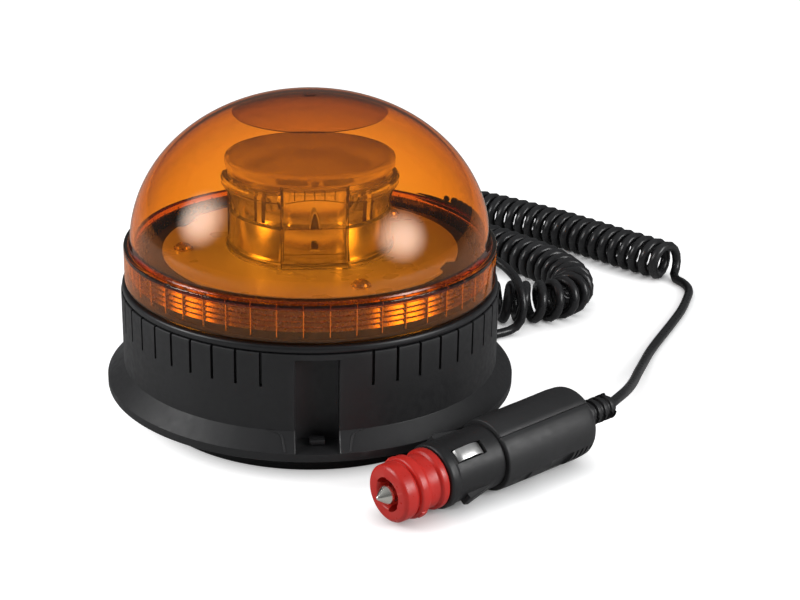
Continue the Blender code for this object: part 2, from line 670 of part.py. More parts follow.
def adapter_sleeve(plug):
    """Red sleeve: front drum, bayonet flange with two lugs, neck and rear flange."""
    red = material("adapter_red", (0.72, 0.05, 0.045), 0.35)
    outline = [
        (-1.2, 9.0), (-0.4, 9.7), (4.0, 9.7), (4.4, 10.4), (8.4, 10.5), (9.0, 9.3), (13.8, 9.3),
        (14.4, 10.2), (16.6, 10.3), (16.9, 10.0), (16.9, 4.4), (1.0, 4.4), (-1.2, 4.9),
    ]
    sleeve = make_object("adapter_sleeve", plug_lathe([(x * MM, r * MM) for x, r in outline]), red, plug)
    for k in range(2):
        lobe = along_x(disc(2.3 * MM, -2.0 * MM, 6.0 * MM, 14))
        turn = Matrix.Rotation(LOBE_TURN + math.pi * k, 4, "X")
        combine(sleeve, place(lobe, turn @ Matrix.Translation((0, 4.9 * MM, 0))), "DIFFERENCE")
    lugs = bmesh.new()
    for side in (-1, 1):
        turn = Matrix.Rotation(SEAM_TURN + math.pi / 2, 4, "X")
        add_box(lugs, (3.4 * MM, 3.0 * MM, 4.4 * MM), (6.6 * MM, side * 9.7 * MM, 0), turn)
    combine(sleeve, lugs, "UNION")


def plug_nose(plug):
    """Black front body with the slots of the side contacts and two fixed retaining lugs."""
    plastic = material("nose_plastic", (0.02, 0.02, 0.022), 0.5)
    outline = [
        (17.2, 10.6), (18.0, 11.1), (20.2, 11.1), (21.0, 10.8), (38.6, 10.9), (40.6, 9.8),
        (40.6, 6.6), (19.6, 6.6), (19.6, 3.6), (17.2, 3.6),
    ]
    nose = make_object("plug_nose", plug_lathe([(x * MM, r * MM) for x, r in outline]), plastic, plug)
    for side in (-1, 1):
        combine(nose, retaining_lug(side), "UNION")
    slots = bmesh.new()
    for side in (-1, 1):
        turn = Matrix.Rotation(SEAM_TURN, 4, "X")
        add_box(slots, (12.8 * MM, 9.0 * MM, 4.9 * MM), (27.9 * MM, side * 9.6 * MM, 0), turn)
    combine(nose, slots, "DIFFERENCE")


def retaining_lug(side):
    """Wedge on the nose that is highest at its front end."""
    outline = [(24.6, 9.0), (24.6, 12.6), (26.2, 12.7), (36.8, 10.4), (36.8, 9.0)]
    bm = bmesh.new()
    rows = []
    for half in (-2.6, 2.6):
        rows.append([bm.verts.new((x * MM, half * MM, side * z * MM)) for x, z in outline])
    bm.faces.new(rows[0])
    bm.faces.new(rows[1][::-1])
    for k in range(len(outline)):
        nxt = (k + 1) % len(outline)
        bm.faces.new((rows[0][nxt], rows[0][k], rows[1][k], rows[1][nxt]))
    return place(bm, Matrix.Rotation(SEAM_TURN, 4, "X"))


def side_contacts(plug):
    """Two bowed leaf contacts that press outward through the nose's slots."""
    silver = material("contact_nickel", (0.8, 0.79, 0.76), 0.22, 1.0)
    for side, name in ((-1, "side_contact_front"), (1, "side_contact_rear")):
        bm = bmesh.new()
        rows = []
        count = 8
        for k in range(count + 1):
            t = k / count
            x = (21.9 + 12.0 * t) * MM
            bow = 2.3 * MM * math.sin(math.pi * t)
            base = 9.4 * MM
            top = base + bow
            quad = [(top, -2.1), (top, 2.1), (top - 0.6 * MM, 2.1), (top - 0.6 * MM, -2.1)]
            rows.append([bm.verts.new((x, side * r, z * MM)) for r, z in quad])
        for low, high in zip(rows, rows[1:]):
            for j in range(4):
                nxt = (j + 1) % 4
                bm.faces.new((low[j], low[nxt], high[nxt], high[j]))
        bm.faces.new(rows[0][::-1])
        bm.faces.new(rows[-1])
        place(bm, Matrix.Rotation(SEAM_TURN, 4, "X"))
        make_object(name, bm, silver, plug)


def tip_parts(plug):
    silver = material("tip_nickel", (0.82, 0.81, 0.78), 0.2, 1.0)
    spring_steel = material("spring_steel", (0.6, 0.6, 0.62), 0.3, 1.0)
    glass = material("fuse_glass", (0.85, 0.88, 0.88), 0.1, 0.0, 0.5)
    tip = [
        (-5.6, 0.0), (-5.2, 0.7), (-1.6, 3.3), (-0.6, 3.3), (-0.2, 3.0), (16.0, 3.0), (16.0, 0.0),
    ]
    tip_bm = plug_lathe([(x * MM, r * MM) for x, r in tip], 16, ring=False)
    make_object("tip_contact", tip_bm, silver, plug)
    spring = along_x(washer(3.2 * MM, 4.6 * MM, 19.9 * MM, 25.0 * MM, 14))
    make_object("tip_spring", spring, spring_steel, plug)
    fuse = along_x(disc(3.1 * MM, 25.3 * MM, 56.0 * MM, 16))
    make_object("fuse", fuse, glass, plug)


def handle_outline():
    """(x, radius) of the handle: shoulder behind the nose, slight swell, rounded rear."""
    return [
        (40.9, 11.2), (41.6, 12.0), (43.6, 12.1), (44.6, 12.6), (60.0, 12.7), (76.0, 12.8),
        (80.0, 12.3), (82.6, 10.6), (84.0, 7.6),
    ]


def handle_half(side):
    """One shell of the handle as a hollow half turning, with its face on the seam."""
    outer = handle_outline()
    inner = [(84.0, 3.2), (81.6, 3.2), (78.6, 10.4), (60.0, 10.8), (44.0, 10.4), (43.4, 7.4), (40.9, 7.4)]
    steps = 14
    bm = bmesh.new()
    rows = []
    for k in range(steps + 1):
        angle = math.pi * k / steps
        row = []
        for x, radius in outer + inner:
            lift = side * (radius * math.sin(angle) * MM + GAP / 2)
            row.append(bm.verts.new((x * MM, radius * math.cos(angle) * MM, lift)))
        rows.append(row)
    count = len(rows[0])
    for low, high in zip(rows, rows[1:]):
        for j in range(count):
            nxt = (j + 1) % count
            bm.faces.new((low[j], low[nxt], high[nxt], high[j]))
    bm.faces.new(rows[0])
    bm.faces.new(rows[-1][::-1])
    return place(bm, Matrix.Rotation(SEAM_TURN, 4, "X"))


def plug_handle(plug):
    plastic = material("handle_plastic", (0.024, 0.024, 0.026), 0.5)
    for side, name in ((1, "handle_upper"), (-1, "handle_lower")):
        half = make_object(name, handle_half(side), plastic, plug)
        grip = bmesh.new()
        turn = Matrix.Rotation(SEAM_TURN, 4, "X")
        add_box(grip, (20.0 * MM, 8.4 * MM, 2.0 * MM), (70.5 * MM, 0, side * 12.2 * MM), turn)
        combine(half, grip, "UNION")
        grooves = bmesh.new()
        for k in range(4):
            x = (70.4 + 2.6 * k) * MM
            add_box(grooves, (1.1 * MM, 12.0 * MM, 1.4 * MM), (x, 0, side * 13.2 * MM), turn)
        combine(half, grooves, "DIFFERENCE")


def cord_boot(plug):
    """Ribbed strain relief behind the handle."""
    rubber = material("boot_black", (0.02, 0.02, 0.021), 0.6)
    outer = [(84.4, 4.9), (86.0, 4.9)]
    for k in range(4):
        x = 86.8 + 3.3 * k
        outer += [(x, 3.5), (x + 0.8, 3.5), (x + 1.2, 4.7 - 0.2 * k), (x + 2.6, 4.6 - 0.2 * k)]
    outer += [(99.6, 3.3), (101.0, 3.2)]
    bore = (WIRE_RADIUS + GAP) / MM
    profile = [(84.4, bore)] + outer + [(101.0, bore)]
    make_object("cord_boot", plug_lathe([(x * MM, r * MM) for x, r in profile], 12), rubber, plug)


# ---------------------------------------------------------------- assembly

def build():
    for obj in list(bpy.data.objects):
        bpy.data.objects.remove(obj, do_unlink=True)
    beacon = empty("beacon", rotation=(0, 0, BEACON_TURN))
    tower = empty("tower", rotation=(0, 0, TOWER_TURN - BEACON_TURN), parent=beacon)
    plug = empty("plug", location=PLUG_FRONT, rotation=(0, -PLUG_RISE, PLUG_TURN))
    rubber_boot(beacon)
    magnet_stack(beacon)
    base_housing(beacon)
    base_plate(beacon)
    driver_electronics(beacon)
    lens_gasket(beacon)
    dome_lens(beacon)
    reflector_plate(beacon)
    plate_screws(beacon)
    led_core(tower)
    led_boards(tower)
    tower_optic(tower)
    tower_cap(tower)
    cord_gland(beacon)
    curly_cord()
    adapter_sleeve(plug)
    plug_nose(plug)
    side_contacts(plug)
    tip_parts(plug)
    plug_handle(plug)
    cord_boot(plug)


build()
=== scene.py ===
"""Looks of an amber LED warning beacon with a magnetic foot, a curly cord and a vehicle plug."""
import math

import bmesh
import bpy
from mathutils import Euler, Matrix, Vector


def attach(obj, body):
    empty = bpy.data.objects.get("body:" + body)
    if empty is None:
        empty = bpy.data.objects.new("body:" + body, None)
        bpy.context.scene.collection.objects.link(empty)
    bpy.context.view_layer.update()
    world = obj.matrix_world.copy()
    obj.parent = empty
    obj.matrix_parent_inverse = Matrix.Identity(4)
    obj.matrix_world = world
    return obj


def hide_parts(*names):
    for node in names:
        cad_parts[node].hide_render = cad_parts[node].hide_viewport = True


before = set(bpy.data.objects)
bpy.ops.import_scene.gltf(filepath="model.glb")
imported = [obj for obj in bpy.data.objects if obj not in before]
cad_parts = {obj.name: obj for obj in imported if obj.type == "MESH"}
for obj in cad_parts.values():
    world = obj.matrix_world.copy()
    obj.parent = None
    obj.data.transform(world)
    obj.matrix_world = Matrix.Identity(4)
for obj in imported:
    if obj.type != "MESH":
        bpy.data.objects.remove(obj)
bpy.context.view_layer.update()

MM = 0.001
BEACON_TURN = math.radians(2.0)
FLOOR_SEEN_BY_PART = (0.5, 0.5, 0.5)
FRONT = math.radians(-90.0)
AXLE = Matrix.Rotation(BEACON_TURN, 4, "Z")
TOWER = Matrix.Rotation(math.radians(3.5), 4, "Z")
PLUG_FRONT = Vector((25.6, -97.4, 11.5)) * MM
PLUG_TURN = math.radians(37.3)
PLUG_RISE = math.radians(1.55)
SEAM_TURN = math.radians(-52.0)
SEAM = Matrix.Rotation(SEAM_TURN, 4, "X")
PLUG = Matrix.Translation(PLUG_FRONT) @ Euler((0, -PLUG_RISE, PLUG_TURN)).to_matrix().to_4x4()


# ---------------------------------------------------------------- materials

class Nodes:
    """A short way to write a material's node tree."""

    def __init__(self, name):
        self.mat = bpy.data.materials.new(name)
        self.mat.use_nodes = True
        self.tree = self.mat.node_tree
        self.shader = self.tree.nodes["Principled BSDF"]
        self.output = self.tree.nodes["Material Output"]

    def add(self, kind, **values):
        node = self.tree.nodes.new(kind)
        for key, value in values.items():
            if hasattr(node, key):
                setattr(node, key, value)
            else:
                node.inputs[key.replace("_", " ")].default_value = value
        return node

    def link(self, source, target):
        self.tree.links.new(source, target)

    def coords(self, scale=(1, 1, 1)):
        tex = self.add("ShaderNodeTexCoord")
        mapping = self.add("ShaderNodeMapping")
        mapping.inputs["Scale"].default_value = scale
        self.link(tex.outputs["Object"], mapping.inputs["Vector"])
        return mapping.outputs["Vector"]

    def noise(self, scale, detail=3.0, roughness=0.55, stretch=(1, 1, 1)):
        node = self.add("ShaderNodeTexNoise", Scale=scale, Detail=detail, Roughness=roughness)
        self.link(self.coords(stretch), node.inputs["Vector"])
        return node.outputs["Fac"]

    def span(self, source, low, high, start=0.3, end=0.7):
        """Map a value from start..end to low..high."""
        node = self.add("ShaderNodeMapRange")
        node.inputs["From Min"].default_value = start
        node.inputs["From Max"].default_value = end
        node.inputs["To Min"].default_value = low
        node.inputs["To Max"].default_value = high
        self.link(source, node.inputs["Value"])
        return node.outputs["Result"]

    def blend(self, fac, first, second):
        node = self.add("ShaderNodeMix", data_type="RGBA")
        self.link(fac, node.inputs["Factor"])
        sockets = [s for s in node.inputs if s.type == "RGBA"]
        for socket, value in zip(sockets, (first, second)):
            if isinstance(value, tuple):
                socket.default_value = (*value, 1.0)
            else:
                self.link(value, socket)
        return [s for s in node.outputs if s.type == "RGBA"][0]

    def bump(self, height, strength, distance):
        node = self.add("ShaderNodeBump", Strength=strength, Distance=distance)
        self.link(height, node.inputs["Height"])
        self.link(node.outputs["Normal"], self.shader.inputs["Normal"])
        return node


def moulded(name, colour, worn, rough=(0.42, 0.58), grain=1800.0, bump=0.25, metallic=0.0, depth=0.00006,
            spec=0.5, stretch=(1, 1, 1)):
    """Moulded or turned surface: slow colour drift, fine grain in roughness and bump, paler raised edges."""
    n = Nodes(name)
    drift = n.noise(38.0, 4.0)
    fine = n.noise(grain, 2.0, stretch=stretch)
    darker = tuple(c * 0.82 for c in colour)
    lighter = tuple(min(1.0, c * 1.18) for c in colour)
    base = n.blend(n.span(drift, 0.0, 1.0), darker, lighter)
    edge = n.add("ShaderNodeNewGeometry")
    wear = n.span(edge.outputs["Pointiness"], 0.0, 1.0, 0.53, 0.62)
    patch = n.add("ShaderNodeMath", operation="MULTIPLY")
    n.link(wear, patch.inputs[0])
    n.link(n.span(drift, 0.25, 1.0), patch.inputs[1])
    n.link(n.blend(patch.outputs[0], base, worn), n.shader.inputs["Base Color"])
    n.link(n.span(n.noise(420.0, 5.0), rough[0], rough[1]), n.shader.inputs["Roughness"])
    n.shader.inputs["Metallic"].default_value = metallic
    n.shader.inputs["Specular IOR Level"].default_value = spec
    n.bump(fine, bump, depth)
    return n.mat


def reflective(name, tint, first, second, haze, rough, metallic=1.0):
    """Bright surface; tint and haze are the (scale, detail) of its colour and roughness noises."""
    n = Nodes(name)
    base = n.blend(n.span(n.noise(*tint), 0.0, 1.0), first, second)
    n.link(base, n.shader.inputs["Base Color"])
    n.shader.inputs["Metallic"].default_value = metallic
    n.link(n.span(n.noise(*haze), *rough), n.shader.inputs["Roughness"])
    return n


def tinted_glass(name, ior, surface, absorb=None, density=1000.0, rough=0.02, shade=None, milky=0.0):
    """Clear or tinted plastic that lets lamp light through to what it covers; milky adds a little haze."""
    n = Nodes(name)
    if milky:
        body = n.shader
        body.inputs["Base Color"].default_value = (*surface, 1.0)
        body.inputs["Transmission Weight"].default_value = 1.0 - milky
        body.inputs["Roughness"].default_value = rough
        body.inputs["IOR"].default_value = ior
    else:
        n.tree.nodes.remove(n.shader)
        body = n.add("ShaderNodeBsdfGlass", Roughness=rough, IOR=ior)
        body.inputs["Color"].default_value = (*surface, 1.0)
    bump = n.add("ShaderNodeBump", Strength=0.02, Distance=0.0004)
    n.link(n.noise(26.0, 2.0), bump.inputs["Height"])
    n.link(bump.outputs["Normal"], body.inputs["Normal"])
    clear = n.add("ShaderNodeBsdfTransparent")
    clear.inputs["Color"].default_value = (*(shade or surface), 1.0)
    path = n.add("ShaderNodeLightPath")
    mix = n.add("ShaderNodeMixShader")
    n.link(path.outputs["Is Shadow Ray"], mix.inputs["Fac"])
    n.link(body.outputs[0], mix.inputs[1])
    n.link(clear.outputs[0], mix.inputs[2])
    n.link(mix.outputs[0], n.output.inputs["Surface"])
    if absorb:
        volume = n.add("ShaderNodeVolumeAbsorption")
        volume.inputs["Color"].default_value = (*absorb, 1.0)
        volume.inputs["Density"].default_value = density
        n.link(volume.outputs[0], n.output.inputs["Volume"])
    return n.mat


# ---------------------------------------------------------------- mesh helpers

def finish_piece(name, bm, mat, body="root", matrix=None, node=None, angle=32.0):
    """Turn bm into a smooth-shaded piece that rides on a body and may stand for CAD nodes."""
    bmesh.ops.recalc_face_normals(bm, faces=bm.faces)
    if matrix is not None:
        bmesh.ops.transform(bm, matrix=matrix, verts=bm.verts)
    mesh = bpy.data.meshes.new(name)
    bm.to_mesh(mesh)
    bm.free()
    mesh.materials.append(mat)
    mesh.shade_smooth()
    mesh.set_sharp_from_angle(angle=math.radians(angle))
    obj = bpy.data.objects.new(name, mesh)
    bpy.context.collection.objects.link(obj)
    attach(obj, body)
    if node:
        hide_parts(*([node] if isinstance(node, str) else node))
    return obj


def grid(bm, rows, wrap=True, loop=False):
    """Faces between rows of vertices; wrap closes each row, loop joins the last row to the first."""
    pairs = list(zip(rows, rows[1:]))
    if loop:
        pairs.append((rows[-1], rows[0]))
    for low, high in pairs:
        count = max(len(low), len(high))
        for k in range(count if wrap else count - 1):
            nxt = (k + 1) % count
            if len(low) == 1:
                bm.faces.new((low[0], high[nxt], high[k]))
            elif len(high) == 1:
                bm.faces.new((low[k], low[nxt], high[0]))
            else:
                bm.faces.new((low[k], low[nxt], high[nxt], high[k]))


def block(bm, size, centre, bevel, matrix=None):
    """Add a rounded box (millimetres) to bm."""
    part = bmesh.new()
    place = Matrix.Translation(Vector(centre) * MM) @ Matrix.Diagonal((*[s * MM for s in size], 1.0))
    bmesh.ops.create_cube(part, size=1.0, matrix=place)
    bmesh.ops.bevel(part, geom=part.edges[:], offset=bevel * MM, segments=3, affect="EDGES", profile=0.5)
    if matrix is not None:
        bmesh.ops.transform(part, matrix=matrix, verts=part.verts)
    join(bm, part)


def join(bm, part):
    mesh = bpy.data.meshes.new("join")
    part.to_mesh(mesh)
    part.free()
    bm.from_mesh(mesh)
    bpy.data.meshes.remove(mesh)


def cut(bm, tool):
    """Exact Boolean difference of two closed meshes, returned as a new bmesh."""
    objs = []
    for source in (bm, tool):
        bmesh.ops.recalc_face_normals(source, faces=source.faces)
        mesh = bpy.data.meshes.new("cut")
        source.to_mesh(mesh)
        source.free()
        objs.append(bpy.data.objects.new("cut", mesh))
        bpy.context.collection.objects.link(objs[-1])
    mod = objs[0].modifiers.new("cut", "BOOLEAN")
    mod.operation, mod.object, mod.solver = "DIFFERENCE", objs[1], "EXACT"
    bpy.context.view_layer.update()
    result = bmesh.new()
    result.from_object(objs[0], bpy.context.evaluated_depsgraph_get())
    for obj in objs:
        bpy.data.objects.remove(obj)
    return result


def loft(bm, rows):
    """Closed skin over rows of equal length, with a face on each end."""
    grid(bm, rows)
    bm.faces.new(rows[0])
    bm.faces.new(rows[-1][::-1])


def polar(radius, angle, height):
    """Point in metres from a radius and a height in millimetres and an angle in radians."""
    return radius * MM * math.cos(angle), radius * MM * math.sin(angle), height * MM


def about_z(degrees):
    return Matrix.Rotation(math.radians(degrees), 4, "Z")


def turned(profile, segments=128, loop=True, bm=None, axis="z", shape=None):
    """Turn (radius, height) points. shape(radius, height, angle) may change a point's radius."""
    bm = bm or bmesh.new()
    rows = []
    for radius, height in profile:
        count = 1 if radius < 1e-7 else segments
        row = []
        for k in range(count):
            a = 2 * math.pi * k / segments
            r = shape(radius, height, a) if shape else radius
            c, s = r * math.cos(a), r * math.sin(a)
            row.append(bm.verts.new((c, s, height) if axis == "z" else (height, c, s)))
        rows.append(row)
    grid(bm, rows, loop=loop)
    return bm


def mm(points):
    return [(a * MM, b * MM) for a, b in points]


def rounded(points, radius, steps=4):
    """Round the corners of an outline; radius is one number or one for each corner."""
    out = []
    count = len(points)
    for k, corner in enumerate(points):
        r = radius[k] if isinstance(radius, (list, tuple)) else radius
        if r <= 0 or k in (0, count - 1):
            out.append(tuple(corner))
            continue
        p, a, b = Vector(corner), Vector(points[k - 1]), Vector(points[k + 1])
        r = min(r, (a - p).length * 0.45, (b - p).length * 0.45)
        start, end = p + (a - p).normalized() * r, p + (b - p).normalized() * r
        for i in range(steps + 1):
            t = i / steps
            out.append(tuple(start * (1 - t) ** 2 + p * 2 * t * (1 - t) + end * t * t))
    return out


def smooth_route(points, step):
    """Points a step apart on a smooth curve through the route's own points (centripetal spline)."""
    pts = [Vector(p) for p in points]
    pts = [2 * pts[0] - pts[1]] + pts + [2 * pts[-1] - pts[-2]]
    dense = []
    for p0, p1, p2, p3 in zip(pts, pts[1:], pts[2:], pts[3:]):
        t1 = (p1 - p0).length ** 0.5
        t2 = t1 + (p2 - p1).length ** 0.5
        t3 = t2 + (p3 - p2).length ** 0.5
        for k in range(24):
            t = t1 + (t2 - t1) * k / 24
            a1 = p0 * ((t1 - t) / t1) + p1 * (t / t1)
            a2 = p1 * ((t2 - t) / (t2 - t1)) + p2 * ((t - t1) / (t2 - t1))
            a3 = p2 * ((t3 - t) / (t3 - t2)) + p3 * ((t - t2) / (t3 - t2))
            b1 = a1 * ((t2 - t) / t2) + a2 * (t / t2)
            b2 = a2 * ((t3 - t) / (t3 - t1)) + a3 * ((t - t1) / (t3 - t1))
            dense.append(b1 * ((t2 - t) / (t2 - t1)) + b2 * ((t - t1) / (t2 - t1)))
    dense.append(pts[-2])
    length = sum((b - a).length for a, b in zip(dense, dense[1:]))
    count = max(2, round(length / step))
    result, travelled, target = [dense[0]], 0.0, length / count
    for a, b in zip(dense, dense[1:]):
        span = (b - a).length
        while span > 0 and travelled + span >= target - 1e-9 and len(result) < count:
            result.append(a.lerp(b, (target - travelled) / span))
            target += length / count
        travelled += span
    result.append(dense[-1])
    return result


# ---------------------------------------------------------------- camera, floor and light

CAMERA_LENS = 75.854
CAMERA_SHIFT = (0.1125, -0.00938)
CAMERA_PLACE = (0, -0.57720, 0.26732)
CAMERA_TILT = math.radians(68.73)
BOX_DISTANCE = 0.9
BOX_SIZE = 0.66
BOX_RADIANCE = 11.5
BOX_TARGET = Vector((0, 0, 0.06))


def camera():
    """Long lens, a little above the beacon and in front of it."""
    data = bpy.data.cameras.new("camera")
    data.lens = CAMERA_LENS
    data.sensor_width = 36.0
    data.shift_x, data.shift_y = CAMERA_SHIFT
    cam = bpy.data.objects.new("camera", data)
    cam.location = CAMERA_PLACE
    cam.rotation_euler = (CAMERA_TILT, 0, 0)
    bpy.context.collection.objects.link(cam)
    bpy.context.scene.camera = cam


def softbox(name, azimuth, elevation):
    """Round area light whose brightness falls off softly from its middle."""
    data = bpy.data.lights.new(name, "AREA")
    data.shape = "DISK"
    data.size = BOX_SIZE
    data.energy = BOX_RADIANCE * math.pi * math.pi * BOX_SIZE * BOX_SIZE / 4
    data.use_nodes = True
    tree = data.node_tree
    emission = tree.nodes["Emission"]
    place = tree.nodes.new("ShaderNodeNewGeometry")
    offset = tree.nodes.new("ShaderNodeVectorMath")
    offset.operation = "DISTANCE"
    offset.inputs[1].default_value = (0.5, 0.5, 0.0)
    fade = tree.nodes.new("ShaderNodeMapRange")
    fade.interpolation_type = "SMOOTHSTEP"
    fade.inputs["From Min"].default_value = 0.06
    fade.inputs["From Max"].default_value = 0.5
    fade.inputs["To Min"].default_value = 1.0
    fade.inputs["To Max"].default_value = 0.0
    tree.links.new(place.outputs["Parametric"], offset.inputs[0])
    tree.links.new(offset.outputs["Value"], fade.inputs["Value"])
    tree.links.new(fade.outputs["Result"], emission.inputs["Strength"])
    a, e = math.radians(azimuth), math.radians(elevation)
    light = bpy.data.objects.new(name, data)
    away = Vector((math.cos(a) * math.cos(e), math.sin(a) * math.cos(e), math.sin(e))) * BOX_DISTANCE
    light.location = BOX_TARGET + away
    light.rotation_euler = away.to_track_quat("Z", "Y").to_euler()
    bpy.context.collection.objects.link(light)


def studio():
    """Dim sky that brightens overhead, two round softboxes and the floor."""
    world = bpy.data.worlds.new("studio")
    bpy.context.scene.world = world
    world.use_nodes = True
    tree = world.node_tree
    background = tree.nodes["Background"]
    background.inputs["Color"].default_value = (0.95, 0.97, 1.0, 1)
    place = tree.nodes.new("ShaderNodeTexCoord")
    split = tree.nodes.new("ShaderNodeSeparateXYZ")
    rise = tree.nodes.new("ShaderNodeMapRange")
    rise.inputs["From Min"].default_value = 0.35
    rise.inputs["From Max"].default_value = 1.0
    rise.inputs["To Min"].default_value = 0.13
    rise.inputs["To Max"].default_value = 0.32
    tree.links.new(place.outputs["Generated"], split.inputs["Vector"])
    tree.links.new(split.outputs["Z"], rise.inputs["Value"])
    tree.links.new(rise.outputs["Result"], background.inputs["Strength"])
    softbox("left_box", -170, 26)
    softbox("right_box", -28, 22)
    bpy.context.scene.view_settings.view_transform = "Standard"
    floor()


def floor():
    """Plain white floor that glows, more brightly where it is seen through glass. The light that it throws
    back on the object is held low. Ambient occlusion dims its glow near the parts: a painted contact shadow.
    """
    n = Nodes("floor_white")
    path = n.add("ShaderNodeLightPath")
    bounced = n.add("ShaderNodeMath", operation="MAXIMUM")
    n.link(path.outputs["Is Diffuse Ray"], bounced.inputs[0])
    n.link(path.outputs["Is Glossy Ray"], bounced.inputs[1])
    held = n.add("ShaderNodeMath", operation="SUBTRACT")
    held.use_clamp = True
    n.link(bounced.outputs[0], held.inputs[0])
    n.link(path.outputs["Is Transmission Ray"], held.inputs[1])
    n.link(n.blend(held.outputs[0], (0.82, 0.82, 0.82), FLOOR_SEEN_BY_PART), n.shader.inputs["Base Color"])
    n.shader.inputs["Roughness"].default_value = 0.9
    n.shader.inputs["Specular IOR Level"].default_value = 0.0
    n.shader.inputs["Emission Color"].default_value = (1, 1, 1, 1)
    behind_glass = n.span(path.outputs["Is Transmission Ray"], 0.84, 1.25, 0.0, 1.0)
    glow = n.add("ShaderNodeMix", data_type="FLOAT")
    n.link(held.outputs[0], glow.inputs["Factor"])
    n.link(behind_glass, glow.inputs["A"])
    glow.inputs["B"].default_value = 0.05
    # painted contact shadow: ambient occlusion dims the floor's glow within 10 mm of the parts
    near = n.add("ShaderNodeAmbientOcclusion", Distance=0.010)
    lit = n.add("ShaderNodeMath", operation="MULTIPLY")
    n.link(glow.outputs["Result"], lit.inputs[0])
    n.link(near.outputs["AO"], lit.inputs[1])
    n.link(lit.outputs[0], n.shader.inputs["Emission Strength"])
    bm = bmesh.new()
    bmesh.ops.create_grid(bm, x_segments=8, y_segments=8, size=4.0)
    mesh = bpy.data.meshes.new("floor")
    bm.to_mesh(mesh)
    bm.free()
    mesh.materials.append(n.mat)
    sheet = bpy.data.objects.new("floor", mesh)
    bpy.context.collection.objects.link(sheet)


# ---------------------------------------------------------------- cord

BASE_LEAD = [
    (38.2, 71.8, 31.0), (43.0, 80.4, 31.2), (51.0, 87.8, 30.6), (61.0, 90.4, 29.0), (70.5, 88.4, 26.8),
    (78.0, 83.2, 24.4), (82.8, 76.4, 22.2), (85.6, 69.4, 19.6), (86.9, 64.6, 14.8), (87.0, 62.8, 9.5),
    (86.0, 62.4, 5.2), (83.6, 61.8, 2.7), (80.4, 60.4, 1.95), (73.5, 56.8, 1.95), (66.5, 54.8, 1.95),
    (60.6, 58.2, 1.95), (58.0, 65.2, 1.95), (60.4, 72.6, 1.95), (65.0, 75.8, 1.95), (69.3, 76.0, 1.95),
]
COIL_LINE = [
    (70.0, 76.0), (80.0, 75.6), (92.0, 75.3), (102.5, 78.6), (110.0, 86.6),
    (112.3, 98.0), (109.2, 110.6), (102.8, 122.4), (93.7, 134.4), (83.3, 146.4),
    (72.0, 158.6), (62.8, 171.4), (59.6, 185.6), (64.4, 198.0), (75.0, 202.0), (85.4, 195.6),
    (99.4, 184.4), (116.9, 168.4), (132.8, 151.0), (148.1, 134.6), (161.9, 120.7),
]
PLUG_LEAD = [
    (162.5, 120.1, 1.95), (164.3, 116.2, 1.95), (165.2, 111.2, 1.95), (164.6, 105.2, 1.95),
    (162.2, 97.8, 1.95), (157.2, 84.6, 1.95), (151.0, 71.4, 1.95), (145.0, 59.4, 1.95),
    (139.4, 48.2, 1.95), (134.6, 37.8, 2.1), (130.2, 25.8, 3.3), (125.2, 11.2, 5.5),
    (120.7, -3.0, 8.1), (116.1, -15.8, 10.8), (111.4, -26.6, 13.1),
]
WIRE = 3.7 * MM
HELIX_RADIUS = 6.95 * MM
COIL_HEIGHT = 9.1 * MM
COIL_FULLNESS = 0.14
BOOT_END = 101.0 * MM
CORD_IN_PLUG = 36.0 * MM
TURN_POINTS = 14


def helix():
    """The coiled stretch: a helix round the coil's own smooth line, its turns more open at the start."""
    line = smooth_route([Vector((x * MM, y * MM, COIL_HEIGHT)) for x, y in COIL_LINE], 0.5 * MM)
    total = len(line) - 1
    step = sum((b - a).length for a, b in zip(line, line[1:])) / total

    def rate(s):
        """Turns for each metre of the line; none at the very ends, so the wire runs straight out."""
        t = s / total
        pitch = (6.5 - 1.2 * min(1.0, t * 2.2) + 0.5 * max(0.0, t - 0.5)) * MM
        ease = min(1.0, s * step / (7 * MM), (total - s) * step / (7 * MM))
        return ease * ease * (3 - 2 * ease) / pitch

    turns = [0.0]
    for s in range(total):
        turns.append(turns[-1] + rate(s + 0.5) * step)
    whole = round(turns[-1])
    count = whole * TURN_POINTS
    points = []
    for k in range(count + 1):
        want = turns[-1] * k / count
        s = next(i for i in range(1, total + 1) if turns[i] >= want - 1e-9)
        f = (want - turns[s - 1]) / max(turns[s] - turns[s - 1], 1e-9)
        centre = line[s - 1].lerp(line[s], min(1.0, max(0.0, f)))
        along = (line[min(s + 3, total)] - line[max(s - 4, 0)]).normalized()
        side = Vector((along.y, -along.x, 0))
        phase = 2 * math.pi * k / TURN_POINTS
        points.append(centre + HELIX_RADIUS * (side * math.sin(phase) - Vector((0, 0, 1)) * math.cos(phase)))
    return points


def supply_cord(with_pieces):
    """The whole cord as one curve: straight lead, coil, straight lead, and its end inside the plug."""
    lead = smooth_route([Vector(p) * MM for p in BASE_LEAD], 3.5 * MM)
    boot_mouth = PLUG @ Vector((BOOT_END + 0.3 * MM, 0, 0))
    tail = smooth_route([Vector(p) * MM for p in PLUG_LEAD] + [boot_mouth], 3.5 * MM)
    points = lead[:-1] + helix() + tail[1:]
    points.append(PLUG @ Vector((BOOT_END - CORD_IN_PLUG, 0, 0)))
    curve = bpy.data.curves.new("supply_cord", "CURVE")
    curve.dimensions = "3D"
    curve.bevel_depth = WIRE / 2
    curve.bevel_resolution = 4
    curve.use_fill_caps = True
    spline = curve.splines.new("POLY")
    spline.points.add(len(points) - 1)
    for k, (point, co) in enumerate(zip(spline.points, points)):
        point.co = (*co, 1.0)
        from_lead = min(k - len(lead), len(points) - len(tail) - 1 - k)
        point.radius = 1.0 + COIL_FULLNESS * min(1.0, max(0.0, from_lead / 10))
    spline.use_smooth = True
    cord = bpy.data.objects.new("supply_cord", curve)
    bpy.context.collection.objects.link(cord)
    curve.materials.append(moulded("cord_jacket", (0.013, 0.013, 0.014), (0.04, 0.04, 0.042), (0.24, 0.38),
                                   900.0, 0.12))
    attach(cord, "root")
    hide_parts("base_lead", "curly_coil", "plug_lead")


